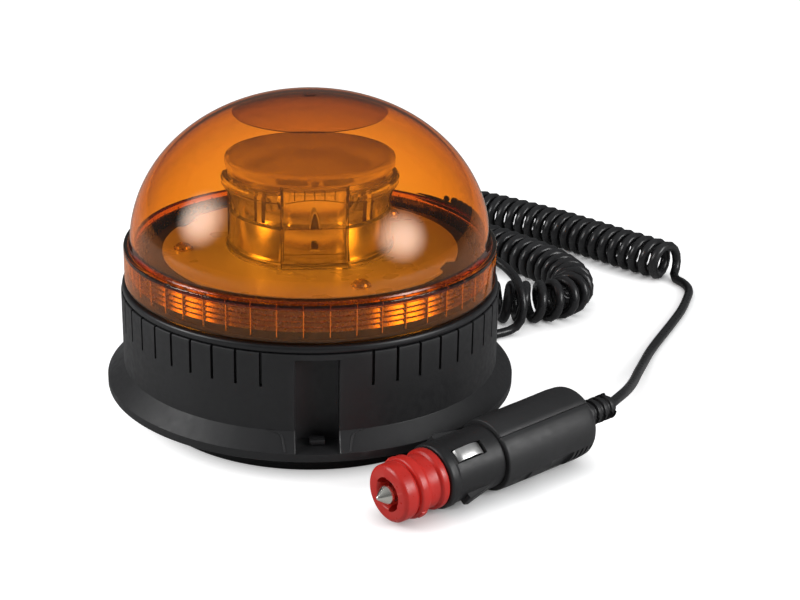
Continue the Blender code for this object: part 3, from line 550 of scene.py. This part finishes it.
# ---------------------------------------------------------------- plug

LOBE_TURN = math.radians(56.0)
LOBE_PLACE = 4.9 * MM
LOBE_RADIUS = 2.3 * MM
BORE_RADIUS = 4.4 * MM


def plug_turned(profile, segments=72, loop=True, shape=None):
    return turned([(r, x) for x, r in mm(profile)], segments, loop, axis="x", shape=shape)


def adapter():
    """Red sleeve with two ridges, a bore with side pockets and two small keys."""
    red = moulded("adapter_red", (0.70, 0.028, 0.020), (0.80, 0.12, 0.09), (0.26, 0.40), 900.0, 0.10)
    outline = rounded([
        (3.4, 4.4), (0.4, 4.5), (-1.2, 5.3), (-1.2, 8.7), (-0.3, 9.8), (3.8, 9.8), (4.4, 9.2), (4.4, 9.0),
        (4.9, 9.0), (5.0, 10.0), (5.6, 10.5), (8.2, 10.5), (9.0, 9.9), (9.1, 9.2), (13.6, 9.2), (13.9, 9.9),
        (14.4, 10.3), (16.4, 10.3), (16.9, 10.0), (16.9, 4.4), (3.4, 4.4)], 0.5, 3)

    def lobes(radius, height, angle):
        """Two round side pockets open out of the bore, one on each side of the tip."""
        off = (angle - LOBE_TURN + math.pi / 2) % math.pi - math.pi / 2
        across = LOBE_PLACE * math.sin(off)
        if radius > 5.6 * MM or abs(across) >= LOBE_RADIUS:
            return radius
        reach = LOBE_PLACE * math.cos(off) + math.sqrt(LOBE_RADIUS ** 2 - across ** 2)
        return max(radius, reach + 0.6 * (radius - BORE_RADIUS))

    bm = plug_turned(outline[:-1], 144, True, lobes)
    for side in (-1, 1):
        turn = Matrix.Rotation(SEAM_TURN + math.pi / 2, 4, "X")
        block(bm, (2.6, 1.8, 3.2), (6.7, side * 9.9, 0), 0.4, turn)
    return finish_piece("adapter_detail", bm, red, "adapter", PLUG, "adapter_sleeve")


def nose():
    """Black nose with openings for the two leaf contacts and two retaining wedges."""
    black = moulded("nose_black", (0.016, 0.016, 0.017), (0.05, 0.05, 0.05), (0.38, 0.52), 1500.0, 0.22)
    outline = rounded([
        (17.2, 3.6), (17.2, 10.7), (17.9, 11.2), (20.4, 11.2), (21.2, 10.8), (39.6, 10.9), (40.7, 10.9),
        (40.7, 10.2), (40.7, 6.6), (19.6, 6.6), (19.6, 3.6), (17.2, 3.6)], 0.3, 3)
    bm = plug_turned(outline[:-1], 96)
    tool = bmesh.new()
    for side in (-1, 1):
        block(tool, (12.8, 9.0, 5.0), (27.9, side * 9.6, 0), 0.35, SEAM)
    bm = cut(bm, tool)
    for side in (-1, 1):
        join(bm, lug(side))
    return finish_piece("nose_detail", bm, black, "root", PLUG, "plug_nose", 30)


def lug(side):
    """Retaining wedge, highest at its front end."""
    outline = rounded([
        (24.6, 9.4), (24.6, 12.3), (26.0, 12.6), (36.8, 10.6), (36.8, 9.4), (24.6, 9.4)], 0.3, 3)[:-1]
    bm = bmesh.new()
    rows = []
    for half, shrink in ((-2.6, 0.25), (-2.3, 0.0), (2.3, 0.0), (2.6, 0.25)):
        rows.append([bm.verts.new((x * MM, half * MM, side * (z - shrink) * MM)) for x, z in outline])
    loft(bm, rows)
    bmesh.ops.transform(bm, matrix=SEAM, verts=bm.verts)
    bmesh.ops.recalc_face_normals(bm, faces=bm.faces)
    return bm


def contact_leaf(side, name, body):
    """Bowed leaf contact with a step near its front and turned-in ends."""
    silver = moulded(name + "_nickel", (0.86, 0.85, 0.83), (0.94, 0.94, 0.93), (0.34, 0.46), 2600.0, 0.05,
                     1.0)
    bm = bmesh.new()
    rows = []
    profile = [(21.9, 9.0), (22.4, 10.2), (23.1, 11.05), (24.2, 11.5), (25.2, 11.55), (26.2, 11.6),
               (27.6, 11.75), (29.4, 11.7), (31.2, 11.3), (32.6, 10.6), (33.5, 9.8), (33.9, 9.1)]
    section = [(-2.1, -0.15), (-1.8, 0.0), (0, 0.05), (1.8, 0.0), (2.1, -0.15), (2.1, -0.5), (-2.1, -0.5)]
    for place in smooth_route([(x, y, 0) for x, y in profile], 0.4):
        rows.append([bm.verts.new(Vector((place.x, side * (place.y + d), z)) * MM) for z, d in section])
    loft(bm, rows)
    bmesh.ops.transform(bm, matrix=SEAM, verts=bm.verts)
    return finish_piece(name + "_leaf", bm, silver, body, PLUG, name, 50)


def tip():
    """Pointed tip contact with a collar on its stem."""
    silver = moulded("tip_nickel", (0.88, 0.84, 0.76), (0.95, 0.94, 0.9), (0.16, 0.28), 2200.0, 0.08, 1.0,
                     stretch=(1, 6, 6))
    outline = rounded([
        (-5.6, 0.0), (-5.35, 0.55), (-1.9, 3.15), (-1.2, 3.3), (-0.6, 3.3), (-0.3, 3.0), (4.6, 3.0),
        (4.7, 3.9), (6.2, 3.9), (6.3, 3.0), (15.9, 3.0), (15.9, 0.0)], 0.25, 3)
    bm = plug_turned(outline, 48, False)
    return finish_piece("tip_point", bm, silver, "tip", PLUG, "tip_contact")


def handle(side, name):
    """One half of the handle with its seam step, sunk thumb pad and grip ribs."""
    black = moulded(name + "_black", (0.026, 0.026, 0.027), (0.06, 0.06, 0.062), (0.44, 0.56), 1500.0, 0.22)
    outer = rounded([
        (40.9, 10.9), (40.9, 12.4), (60.0, 12.6), (76.0, 12.8), (81.4, 12.5), (84.0, 8.8), (84.0, 3.2)],
        [0, 1.5, 0, 0, 3.2, 3.4, 0], 6)
    inner = [(81.6, 3.2), (78.6, 10.4), (60.0, 10.8), (44.0, 10.4), (43.4, 7.4), (40.9, 7.4)]
    steps = 40
    bm = bmesh.new()
    rows = []
    for k in range(steps + 1):
        angle = math.pi * k / steps
        row = []
        for j, (x, radius) in enumerate(outer + inner):
            r = radius
            if j < len(outer) and (k == 0 or k == steps):
                r -= 0.3
            lift = side * (r * math.sin(angle) + 0.12)
            row.append(bm.verts.new((x * MM, r * math.cos(angle) * MM, lift * MM)))
        rows.append(row)
    loft(bm, rows)
    hollows = [((10.4, 9.0, 3.0), 66.2, 13.0, 0.5), ((6.0, 7.0, 1.2), 58.4, 13.1, 0.5),
               ((5.2, 6.0, 2.4), 49.8, 13.2, 0.4)]
    hollows += [((1.1, 9.0, 2.4), 73.0 + 2.2 * k, 13.0, 0.3) for k in range(5)]
    for size, along, out, bevel in hollows:
        tool = bmesh.new()
        block(tool, size, (along, 0, side * out), bevel)
        bm = cut(bm, tool)
    bmesh.ops.transform(bm, matrix=SEAM, verts=bm.verts)
    return finish_piece(name + "_shell", bm, black, "root", PLUG, name, 34)


def strain_relief():
    """Ribbed rubber boot where the cord leaves the handle."""
    rubber = moulded("boot_rubber", (0.016, 0.016, 0.017), (0.05, 0.05, 0.05), (0.4, 0.55), 1200.0, 0.2)
    outer = [(84.3, 5.0), (86.2, 5.0)]
    for k in range(4):
        x = 87.0 + 3.3 * k
        outer += [(x, 3.4), (x + 0.8, 3.4), (x + 1.1, 4.5 - 0.15 * k), (x + 2.7, 4.45 - 0.15 * k)]
    outer += [(99.7, 3.4), (101.0, 3.2)]
    outline = rounded([(84.3, 2.05)] + outer + [(101.0, 2.05), (84.3, 2.05)], 0.28, 2)[:-1]

    def webs(radius, height, angle):
        """Short webs join the ribs on two sides."""
        if 3.5 * MM < radius < 3.7 * MM and abs(math.sin(angle - SEAM_TURN)) > 0.80:
            return radius + 1.0 * MM
        return radius

    bm = plug_turned(outline, 64, True, webs)
    return finish_piece("cord_boot_ribs", bm, rubber, "root", PLUG, "cord_boot", 30)


def plug_pieces():
    return [
        adapter(), nose(), contact_leaf(-1, "side_contact_front", "contact_front"),
        contact_leaf(1, "side_contact_rear", "contact_rear"), tip(), handle(1, "handle_upper"),
        handle(-1, "handle_lower"), strain_relief(),
    ]


# ---------------------------------------------------------------- base

FLANGE_RADIUS = 75.0
WALL_RADIUS = 68.9
RECESS_FLOOR = 14.0
RECESS_TOP = 45.3
RECESS_HALF = 7.25
SLOTS_PER_SECTOR = 13
SLOT_PITCH = 7.367
FIRST_SLOT = 15.8
SLOT_HALF = math.degrees(0.42 / WALL_RADIUS)
SLOT_FOOT = 35.2
SLOT_DEPTH = 1.5
WALL_STEP = 2.1


def housing():
    """Housing with a flange, three recesses and a row of short slots between them."""
    black = moulded("housing_black", (0.014, 0.014, 0.015), (0.045, 0.045, 0.046), (0.42, 0.56), 1500.0, 0.25)
    profile = rounded([
        (72.0, 11.0), (FLANGE_RADIUS, 11.0), (FLANGE_RADIUS, 14.1), (WALL_RADIUS, 19.5), (WALL_RADIUS, 35.1),
        (WALL_RADIUS, 35.25), (WALL_RADIUS, 40.0), (WALL_RADIUS, 47.2), (60.0, 47.2), (59.2, 47.2),
        (59.2, 60.2), (50.0, 60.2), (50.0, 58.0)],
        [0, 0.5, 0.45, 0.12, 0, 0, 0, 0.5, 0, 0, 0.3, 0, 0], 3)
    recesses = [math.degrees(FRONT) + a for a in (0.0, 120.0, 240.0)]
    columns = housing_columns(recesses)
    bm = bmesh.new()
    rows = []
    for r, z, deep in recess_rows(profile):
        row = []
        for azimuth, lateral, kind in columns:
            if kind == "recess" and deep:
                side = lateral / RECESS_HALF
                x = 61.8 + 2.2 * side * side
                y = lateral
            elif kind in ("recess", "lip"):
                x = math.sqrt(max(r * r - lateral * lateral, 0.0))
                y = lateral
                if kind == "lip" and deep:
                    x -= 0.0 if abs(lateral) > 7.5 else 0.35
            else:
                depth = SLOT_DEPTH if kind == "slot" and z > SLOT_FOOT and r > 68.0 else 0.0
                angle = math.radians(lateral)
                x, y = (r - depth) * math.cos(angle), (r - depth) * math.sin(angle)
            a = math.radians(azimuth)
            row.append(bm.verts.new(((x * math.cos(a) - y * math.sin(a)) * MM,
                                     (x * math.sin(a) + y * math.cos(a)) * MM, z * MM)))
        rows.append(row)
    grid(bm, rows)
    for azimuth in recesses:
        turn = about_z(azimuth)
        block(bm, (4.2, 5.2, 1.6), (66.4, 0, 15.1), 0.3, turn)
        for side in (-1, 1):
            flange_rib(bm, turn, side)
    return finish_piece("housing_shell", bm, black, "root", AXLE, "base_housing", 28)


def recess_rows(profile):
    """The profile's rows, each with whether the recess is cut there, with paired rows at its ends."""
    rows = []
    done_floor = done_top = False
    for r, z in profile:
        if not done_floor and z > RECESS_FLOOR:
            rows += [(FLANGE_RADIUS, RECESS_FLOOR - 0.04, False), (FLANGE_RADIUS, RECESS_FLOOR + 0.04, True)]
            done_floor = True
        if not done_top and z > RECESS_TOP:
            rows += [(WALL_RADIUS, RECESS_TOP - 0.04, True), (WALL_RADIUS, RECESS_TOP + 0.04, False)]
            done_top = True
        rows.append((r, z, done_floor and not done_top))
    return rows


def housing_columns(recesses):
    """Columns round the housing: (azimuth, angle in degrees or sideways place in millimetres, kind)."""
    columns = []
    for base in recesses:
        for lateral in (-7.75, -7.4):
            columns.append((base, lateral, "lip"))
        for k in range(9):
            columns.append((base, -RECESS_HALF + 2 * RECESS_HALF * k / 8, "recess"))
        for lateral in (7.4, 7.75):
            columns.append((base, lateral, "lip"))
        angle = 8.2
        for k in range(SLOTS_PER_SECTOR):
            centre = FIRST_SLOT + SLOT_PITCH * k
            while angle < centre - SLOT_HALF - 1.2:
                columns.append((base, angle, "wall"))
                angle += WALL_STEP
            for side in (-1, 1):
                edge = centre + side * SLOT_HALF
                pair = [(base, edge + side * 0.09, "wall"), (base, edge, "slot")]
                columns += pair[::-side]
            angle = centre + SLOT_HALF + 1.5
        while angle < 112.0:
            columns.append((base, angle, "wall"))
            angle += WALL_STEP
    return columns


def flange_rib(bm, turn, side):
    """Low curved ridge on the flange's slope beside a recess."""
    part = bmesh.new()
    rows = []
    count = 12
    for k in range(count + 1):
        t = k / count
        angle = side * math.radians(8.4 + 1.6 * (1 - t) + 3.8 * (1 - t) ** 12)
        r = (69.0 + 5.6 * t) * MM
        z = (19.5 - 5.1 * t) * MM
        ring = []
        for across, lift in ((-0.55, -0.3), (-0.25, 0.28), (0.25, 0.28), (0.55, -0.3)):
            a = angle + across * MM / r
            rr = r + lift * MM * 0.66
            ring.append(part.verts.new((rr * math.cos(a), rr * math.sin(a), z + lift * MM * 0.75)))
        rows.append(ring)
    loft(part, rows)
    bmesh.ops.transform(part, matrix=turn, verts=part.verts)
    join(bm, part)


def gasket():
    """Rubber bead between housing and lens."""
    rubber = moulded("gasket_black", (0.012, 0.012, 0.013), (0.04, 0.04, 0.04), (0.3, 0.42), 900.0, 0.12)
    profile = rounded([(61.5, 47.5), (68.4, 47.5), (68.6, 48.7), (68.2, 49.9), (61.5, 49.9), (61.5, 47.5)],
                      [0, 0.9, 0.6, 0.9, 0, 0], 4)[:-1]
    bm = turned(mm(profile), 160)
    return finish_piece("gasket_bead", bm, rubber, "root", AXLE, "lens_gasket")


def foot():
    """Rubber cup over the magnet foot."""
    rubber = moulded("foot_rubber", (0.010, 0.010, 0.011), (0.03, 0.03, 0.03), (0.55, 0.72), 1100.0, 0.3)
    profile = rounded([(0, 0), (59.0, 0), (59.0, 10.7), (56.6, 10.7), (56.6, 2.0), (0, 2.0)],
                      [0, 0.6, 0.4, 0, 0, 0], 3)
    bm = turned(mm(profile), 128, False)
    return finish_piece("foot_boot", bm, rubber, "root", AXLE, "rubber_boot")


def gland():
    """Short ribbed boot where the cord leaves the housing."""
    rubber = moulded("gland_black", (0.016, 0.016, 0.017), (0.05, 0.05, 0.05), (0.45, 0.6), 1200.0, 0.2)
    outline = [(60.5, 2.05), (60.5, 4.2), (69.9, 4.2), (69.9, 6.6), (71.2, 6.6), (72.4, 6.0), (72.8, 4.3)]
    for k in range(2):
        outline += [(74.4 + 2.6 * k, 4.1 - 0.3 * k), (74.8 + 2.6 * k, 3.3), (75.6 + 2.6 * k, 3.3),
                    (76.0 + 2.6 * k, 3.9 - 0.3 * k)]
    outline += [(81.0, 3.0), (81.0, 2.05), (60.5, 2.05)]
    bm = turned([(r, x) for x, r in mm(rounded(outline, 0.25, 2)[:-1])], 40, True, axis="x")
    place = about_z(62.0) @ Matrix.Translation((0, 0, 31 * MM))
    return finish_piece("gland_boot", bm, rubber, "root", place, "cord_gland")


# ---------------------------------------------------------------- lens

DOME_RADIUS = 65.3
DOME_FOOT = 62.6
DOME_HEIGHT = 54.7
DOME_POWER = 2 / 2.04
PRISM_FOOT = 53.6
PRISM_STEP = 1.9
PRISM_COUNT = 5
RIB_COUNT = 46


def dome_curve(offset, steps, start=0.0):
    """(radius, height) of the dome, moved inward by offset, from the given height up to the axis."""
    points = []
    for k in range(steps + 1):
        angle = math.pi / 2 * k / steps
        radius = (DOME_RADIUS - offset) * max(math.cos(angle), 0.0) ** DOME_POWER
        height = DOME_FOOT + (DOME_HEIGHT - offset) * math.sin(angle) ** DOME_POWER
        if height > start:
            points.append((radius if k < steps else 0.0, height))
    return points


def lens_piece():
    """Dome and skirt as one closed shell."""
    amber = tinted_glass("amber_lens", 1.49, (1.0, 0.95, 0.86), (0.905, 0.70, 0.12), 1500.0, 0.015,
                         shade=(0.97, 0.97, 0.97))
    outer = rounded([(66.9, 50.2), (67.5, 50.9), (67.5, 64.0), (65.7, 64.0), (65.2, 65.0)],
                    [0, 0.4, 0.9, 0.35, 0], 5)
    outer += [p for p in dome_curve(0.0, 72, 65.6) if p[0] > 2.6] + [(2.2, 117.28), (2.0, 117.5), (0, 117.55)]
    inner = dome_curve(1.6, 72, 64.6)[::-1]
    inner += rounded([(63.65, 64.2), (63.7, 62.3), (65.9, 62.1), (65.9, 50.2)], [0, 0.5, 0.4, 0], 3)
    bm = bmesh.new()
    turned(mm(outer), 256, False, bm)
    turned(mm(inner), 256, False, bm)
    rims = [e for e in bm.edges if len(e.link_faces) == 1]
    bmesh.ops.bridge_loops(bm, edges=rims)
    return finish_piece("lens_dome", bm, amber, "root", AXLE, "dome_lens", 40)


def crown_shade_disc():
    """Thin darker amber disc under the crown: painted shade, a dark sheet standing in for a darker reflection
    there, not a moulded part.
    """
    # painted shade: strongly absorbing amber that darkens the crown
    amber = tinted_glass("crown_shade_amber", 1.49, (0.99, 0.985, 0.98), (0.70, 0.52, 0.5), 3000.0, 0.03,
                         shade=(0.8, 0.7, 0.7))
    top = [p for p in dome_curve(1.9, 72) if p[0] < 27.8]
    under = [p for p in dome_curve(2.25, 72) if p[0] < 27.6]
    bm = turned(mm(under[::-1] + top), 128, False)
    return finish_piece("crown_shade_disc", bm, amber, "root", AXLE, None, 40)


def prisms():
    """Ring of horizontal prisms between thin upright ribs, just inside the skirt."""
    n = reflective("prism_amber", (700.0, 3.0), (0.62, 0.40, 0.13), (0.68, 0.45, 0.15), (500.0, 3.0),
                   (0.22, 0.30))
    n.bump(n.noise(380.0, 2.0, stretch=(1, 1, 4)), 0.06, 0.0001)
    profile = [(62.7, 53.5)]
    for k in range(PRISM_COUNT):
        z = PRISM_FOOT + PRISM_STEP * k
        profile += [(62.7, z), (64.4, z + 0.25), (63.95, z + 1.3), (62.7, z + 1.5)]
    profile += [(62.7, 63.1), (62.1, 63.1), (62.1, 53.5)]

    def cells(radius, height, angle):
        """Each cell between two upright ribs bulges a little, like a lens."""
        across = (angle * RIB_COUNT / (2 * math.pi)) % 1.0 - 0.5
        return radius - 0.9 * MM * across * across

    bm = turned(mm(profile), RIB_COUNT * 10, shape=cells)
    for k in range(RIB_COUNT):
        turn = Matrix.Rotation(2 * math.pi * k / RIB_COUNT, 4, "Z")
        block(bm, (0.8, 0.4, 11.4), (64.4, 0, 57.5), 0.18, turn)
    return finish_piece("lens_prisms", bm, n.mat, "root", AXLE)


# ---------------------------------------------------------------- reflector and tower

NOTCHES = (-26.0, 150.0)
NOTCH_HALF = 6.4
NOTCH_DEPTH = 2.6 * MM
SCREW_CIRCLE = 46.0
WINDOW_HALF = math.radians(22.9)
WINDOW_STEP = math.radians(120.0)
WINDOW_FACE = 27.6
OPTIC_WALL = 1.9
OPTIC_STEPS = 240


def plate():
    """Silver reflector disc with two shallow notches in its rim."""
    n = reflective("reflector_silver", (30.0, 3.0), (0.82, 0.82, 0.81), (0.88, 0.88, 0.87), (60.0, 2.0),
                   (0.26, 0.32), 0.25)
    n.bump(n.noise(900.0), 0.04, 0.00002)
    profile = rounded([(0, 60.5), (53.5, 60.5), (53.5, 61.6), (0, 61.6)], [0, 0.1, 0.3, 0], 3)

    def notch(radius, height, angle):
        """Pull the rim inward at each notch."""
        if radius < 50 * MM:
            return radius
        for centre in NOTCHES:
            off = abs((math.degrees(angle) - centre + 180) % 360 - 180)
            if off < NOTCH_HALF:
                return radius - NOTCH_DEPTH * min(1.0, (NOTCH_HALF - off) / 0.8)
        return radius

    bm = turned(mm(profile), 360, False, shape=notch)
    return finish_piece("reflector_disc", bm, n.mat, "root", AXLE, "reflector_plate", 30)


def screws():
    """Three cross-head screws that hold the reflector plate."""
    brass = moulded("screw_brassy", (0.84, 0.70, 0.42), (0.95, 0.86, 0.62), (0.2, 0.32), 1500.0, 0.1, 0.9)
    bm = bmesh.new()
    profile = [(0, 61.7), (3.6, 61.7), (3.6, 62.1), (3.0, 62.2), (2.7, 63.1), (1.7, 63.75), (0.7, 63.85),
               (0.5, 63.2), (0, 63.1)]
    for azimuth in (185.0, 290.0, 46.0):
        part = turned(mm(profile), 32, False)
        for turn in (0, 90):
            slot_tool = bmesh.new()
            block(slot_tool, (3.0, 0.7, 1.6), (0, 0, 63.9), 0.05, about_z(turn + azimuth))
            part = cut(part, slot_tool)
        place = Matrix.Translation(polar(SCREW_CIRCLE, math.radians(azimuth), 0))
        bmesh.ops.transform(part, matrix=place, verts=part.verts)
        join(bm, part)
    return finish_piece("plate_screw_heads", bm, brass, "root", AXLE,
                        ["plate_screw_1", "plate_screw_2", "plate_screw_3"])


def from_window(angle):
    """Angle from the middle of the nearest window of the optic."""
    return (angle - FRONT + WINDOW_STEP / 2) % WINDOW_STEP - WINDOW_STEP / 2


def optic():
    """Clear two-tier body: a cone under a ring, with three flat windows."""
    clear = tinted_glass("clear_optic", 1.5, (1.0, 0.97, 0.90), rough=0.04, shade=(0.97, 0.94, 0.88),
                         milky=0.06)
    levels = [(61.9, 30.0), (62.4, 30.5), (63.6, 30.6), (64.6, 29.6), (66.6, 29.2), (70.4, 29.0),
              (75.2, 29.0), (76.4, 29.2), (76.9, 28.0), (80.0, 28.8), (84.2, 30.3), (85.6, 31.4),
              (86.4, 31.9), (88.2, 31.9), (89.0, 31.2), (89.6, 29.6), (91.4, 29.0)]
    bm = bmesh.new()
    rows = []
    for wall, heights in ((0.0, levels), (OPTIC_WALL, levels[::-1])):
        for z, radius in heights:
            row = []
            for k in range(OPTIC_STEPS):
                angle = 2 * math.pi * k / OPTIC_STEPS
                off = from_window(angle)
                r = (WINDOW_FACE / math.cos(off) if abs(off) < WINDOW_HALF else radius) - wall
                row.append(bm.verts.new(polar(r, angle, z)))
            rows.append(row)
    grid(bm, rows, loop=True)
    return finish_piece("optic_ring", bm, clear, "root", TOWER, "tower_optic", 26)


def mirrors():
    """Bright bowl-shaped reflectors behind the clear cone, between the three windows."""
    n = reflective("mirror_silver", (60.0, 3.0), (0.86, 0.83, 0.74), (0.94, 0.92, 0.86), (90.0, 2.0),
                   (0.16, 0.26))
    levels = [(62.3, 21.0), (62.3, 27.6), (66.4, 26.4), (75.6, 24.6), (77.2, 23.4), (80.0, 24.6),
              (84.0, 26.6), (88.6, 28.8), (88.8, 21.0)]
    bm = bmesh.new()
    rows = []
    for z, radius in levels:
        row = []
        for k in range(OPTIC_STEPS):
            angle = 2 * math.pi * k / OPTIC_STEPS
            r = min(radius, 24.0) if abs(from_window(angle)) < WINDOW_HALF + 0.05 else radius
            row.append(bm.verts.new(polar(r, angle, z)))
        rows.append(row)
    grid(bm, rows, loop=True)
    return finish_piece("optic_mirrors", bm, n.mat, "root", TOWER, None, 30)


def cap():
    """Milky clear lid on the tower."""
    clear = tinted_glass("clear_cap", 1.5, (1.0, 0.93, 0.82), rough=0.14, shade=(0.95, 0.92, 0.86),
                         milky=0.3)
    profile = rounded([
        (0, 94.9), (27.6, 94.8), (28.9, 94.2), (29.1, 91.8), (30.1, 91.8), (30.5, 93.0), (30.5, 95.2),
        (29.6, 95.9), (26.8, 96.2), (0, 96.2)], [0, 0.5, 0.6, 0, 0.3, 0.6, 0.6, 0.6, 0.3, 0], 3)
    bm = turned(mm(profile), 160, False)
    return finish_piece("cap_disc", bm, clear, "root", TOWER, "tower_cap")


def arc_bar(bm, r_low, r_high, start, end, z_low, z_high, steps=8):
    """Add a bar bent round the axis from one angle (degrees) to another; millimetres."""
    part = bmesh.new()
    rows = []
    for k in range(steps + 1):
        a = math.radians(start + (end - start) * k / steps)
        corners = ((r_low, z_low), (r_high, z_low), (r_high, z_high), (r_low, z_high))
        rows.append([part.verts.new(polar(r, a, z)) for r, z in corners])
    loft(part, rows)
    join(bm, part)


def outline_plate(bm, outline, x, thickness, turn):
    """Add a flat plate, facing outward at x, from an outline of (across, height) points in millimetres."""
    part = bmesh.new()
    rows = [[part.verts.new((d * MM, y * MM, z * MM)) for y, z in outline] for d in (x - thickness, x)]
    loft(part, rows)
    bmesh.ops.recalc_face_normals(part, faces=part.faces)
    bmesh.ops.transform(part, matrix=turn, verts=part.verts)
    join(bm, part)


def outlet(width, foot, crown):
    """Parabola-shaped outline, flat at its foot."""
    return [(width * t / 6, crown - (crown - foot) * (t / 6) ** 2) for t in range(-6, 7)]


def streak(bm, azimuth, side, near, far):
    """Add a thin curved strip down the cone between two windows, from the ring to the tier edge."""
    part = bmesh.new()
    rows = []
    for step in range(9):
        t = step / 8
        z = 77.4 + 10.8 * t
        radius = 28.05 + 1.5 * t ** 1.4
        lean = 4.0 * (1 - t)
        row = []
        for depth, angle in ((0.0, near), (0.3, near), (0.3, far), (0.0, far)):
            a = math.radians(azimuth + side * (angle + lean))
            row.append(part.verts.new(polar(radius + depth, a, z)))
        rows.append(row)
    loft(part, rows)
    bmesh.ops.recalc_face_normals(part, faces=part.faces)
    join(bm, part)


def optic_painted_marks():
    """Painted light and shade in each window of the optic: dark strips of painted shade at the slit row, tier
    edges, borders and the arcs under the cap, and painted highlights as bright strips down the cone, a bright
    bar and a bright parabola at the light outlet.
    """
    # painted shade: dark strips laid along the optic's edges where shade falls
    dark = moulded("optic_shadow", (0.060, 0.030, 0.010), (0.08, 0.05, 0.02), (0.3, 0.5), 900.0, 0.1)
    # painted highlight: bright strips, a bar and the outlet parabola stand for glints and a reflection on the
    # optic
    glint = moulded("optic_glint", (0.95, 0.9, 0.75), (1.0, 0.95, 0.8), (0.25, 0.4), 900.0, 0.1)
    shade_strips, bright = bmesh.new(), bmesh.new()
    for k in range(3):
        azimuth = math.degrees(FRONT) + 120 * k
        turn = about_z(azimuth)
        for side in (-1, 1):
            streak(bright, azimuth, side, 36.6, 39.8)
            streak(shade_strips, azimuth, side, 33.2, 36.0)
            streak(shade_strips, azimuth, side, 40.6, 42.4)
        for x in (-6.9, -3.45, 0.0, 3.45, 6.9):
            block(shade_strips, (0.3, 0.3, 3.3), (27.3, x, 88.6), 0.06, turn)
        for x in range(-10, 10):
            block(shade_strips, (0.3, 1.06, 0.24), (27.3, x + 0.5, 87.0 - 1.2 * ((x + 0.5) / 10.5) ** 2), 0.03, turn)
        for side in (-1, 1):
            block(shade_strips, (0.4, 0.3, 30.0), (27.2, side * 11.6, 77.2), 0.06, turn)
            block(shade_strips, (0.4, 0.7, 5.4), (27.2, side * 11.2, 88.4), 0.1, turn)
            arc_bar(shade_strips, 29.7, 30.0, azimuth + side * 5.2, azimuth + side * 26.0, 92.9, 94.7)
        for z in (76.7, 67.4, 63.9):
            block(shade_strips, (0.3, 23.0, 0.2), (27.3, 0, z), 0.03, turn)
        block(shade_strips, (0.5, 2.2, 1.9), (29.5, 0, 93.5), 0.2, turn)
        block(shade_strips, (0.6, 2.4, 1.8), (26.7, 0, 70.2), 0.2, turn)
        outline_plate(bright, outlet(2.0, 76.8, 82.9), 27.2, 0.3, turn)
        outline_plate(shade_strips, outlet(1.45, 76.8, 82.2), 27.4, 0.15, turn)
        block(bright, (0.3, 3.6, 0.8), (27.2, 0, 68.7), 0.1, turn)
    finish_piece("optic_painted_marks", shade_strips, dark, "root", TOWER)
    finish_piece("optic_glints", bright, glint, "root", TOWER)


def carried_over():
    """Procedural finishes for the CAD nodes that are shown as they are."""
    finishes = [
        (["ring_magnet"], "ferrite", (0.035, 0.033, 0.033), (0.12, 0.11, 0.11), (0.5, 0.7), 700.0, 0.3),
        (["magnet_yoke"], "yoke_zinc", (0.5, 0.5, 0.48), (0.75, 0.75, 0.72), (0.28, 0.42), 900.0, 0.12, 1.0),
        (["centre_bolt", "centre_nut"], "bolt_zinc", (0.52, 0.52, 0.5), (0.78, 0.78, 0.76), (0.25, 0.4),
         1200.0, 0.12, 1.0),
        (["base_plate"], "floor_black", (0.02, 0.02, 0.021), (0.06, 0.06, 0.06), (0.45, 0.6), 1400.0, 0.2),
        (["driver_board"], "board_green", (0.012, 0.10, 0.045), (0.05, 0.2, 0.1), (0.3, 0.45), 600.0, 0.1),
        (["capacitor_1", "capacitor_2"], "can_alu", (0.5, 0.5, 0.52), (0.8, 0.8, 0.8), (0.25, 0.4), 900.0,
         0.08, 1.0),
        (["choke"], "choke_copper", (0.50, 0.20, 0.09), (0.8, 0.4, 0.2), (0.3, 0.45), 350.0, 0.5, 1.0),
        (["terminal_block"], "terminal_grey", (0.25, 0.27, 0.28), (0.4, 0.4, 0.4), (0.45, 0.6), 900.0, 0.2),
        (["tip_spring"], "spring_steel", (0.5, 0.5, 0.52), (0.8, 0.8, 0.8), (0.22, 0.36), 900.0, 0.2, 1.0),
        ([f"led_board_{k}" for k in range(1, 7)], "led_board_white", (0.62, 0.60, 0.54), (0.8, 0.8, 0.7),
         (0.35, 0.5), 800.0, 0.1),
    ]
    for nodes, *values in finishes:
        paint(nodes, moulded(*values))
    paint(["led_core"], moulded("core_white", (0.74, 0.73, 0.70), (0.85, 0.85, 0.85), (0.3, 0.45), 900.0,
                                0.12, stretch=(1, 1, 0.05)))
    paint(["fuse"], tinted_glass("fuse_glass", 1.5, (0.97, 0.98, 0.98), rough=0.05))


def paint(nodes, mat):
    for node in nodes:
        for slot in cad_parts[node].material_slots:
            slot.material = mat


camera()
studio()
supply_cord(plug_pieces() + [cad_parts["fuse"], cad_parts["tip_spring"]])
housing()
gasket()
foot()
gland()
lens_piece()
crown_shade_disc()
prisms()
plate()
screws()
optic()
mirrors()
optic_painted_marks()
cap()
carried_over()
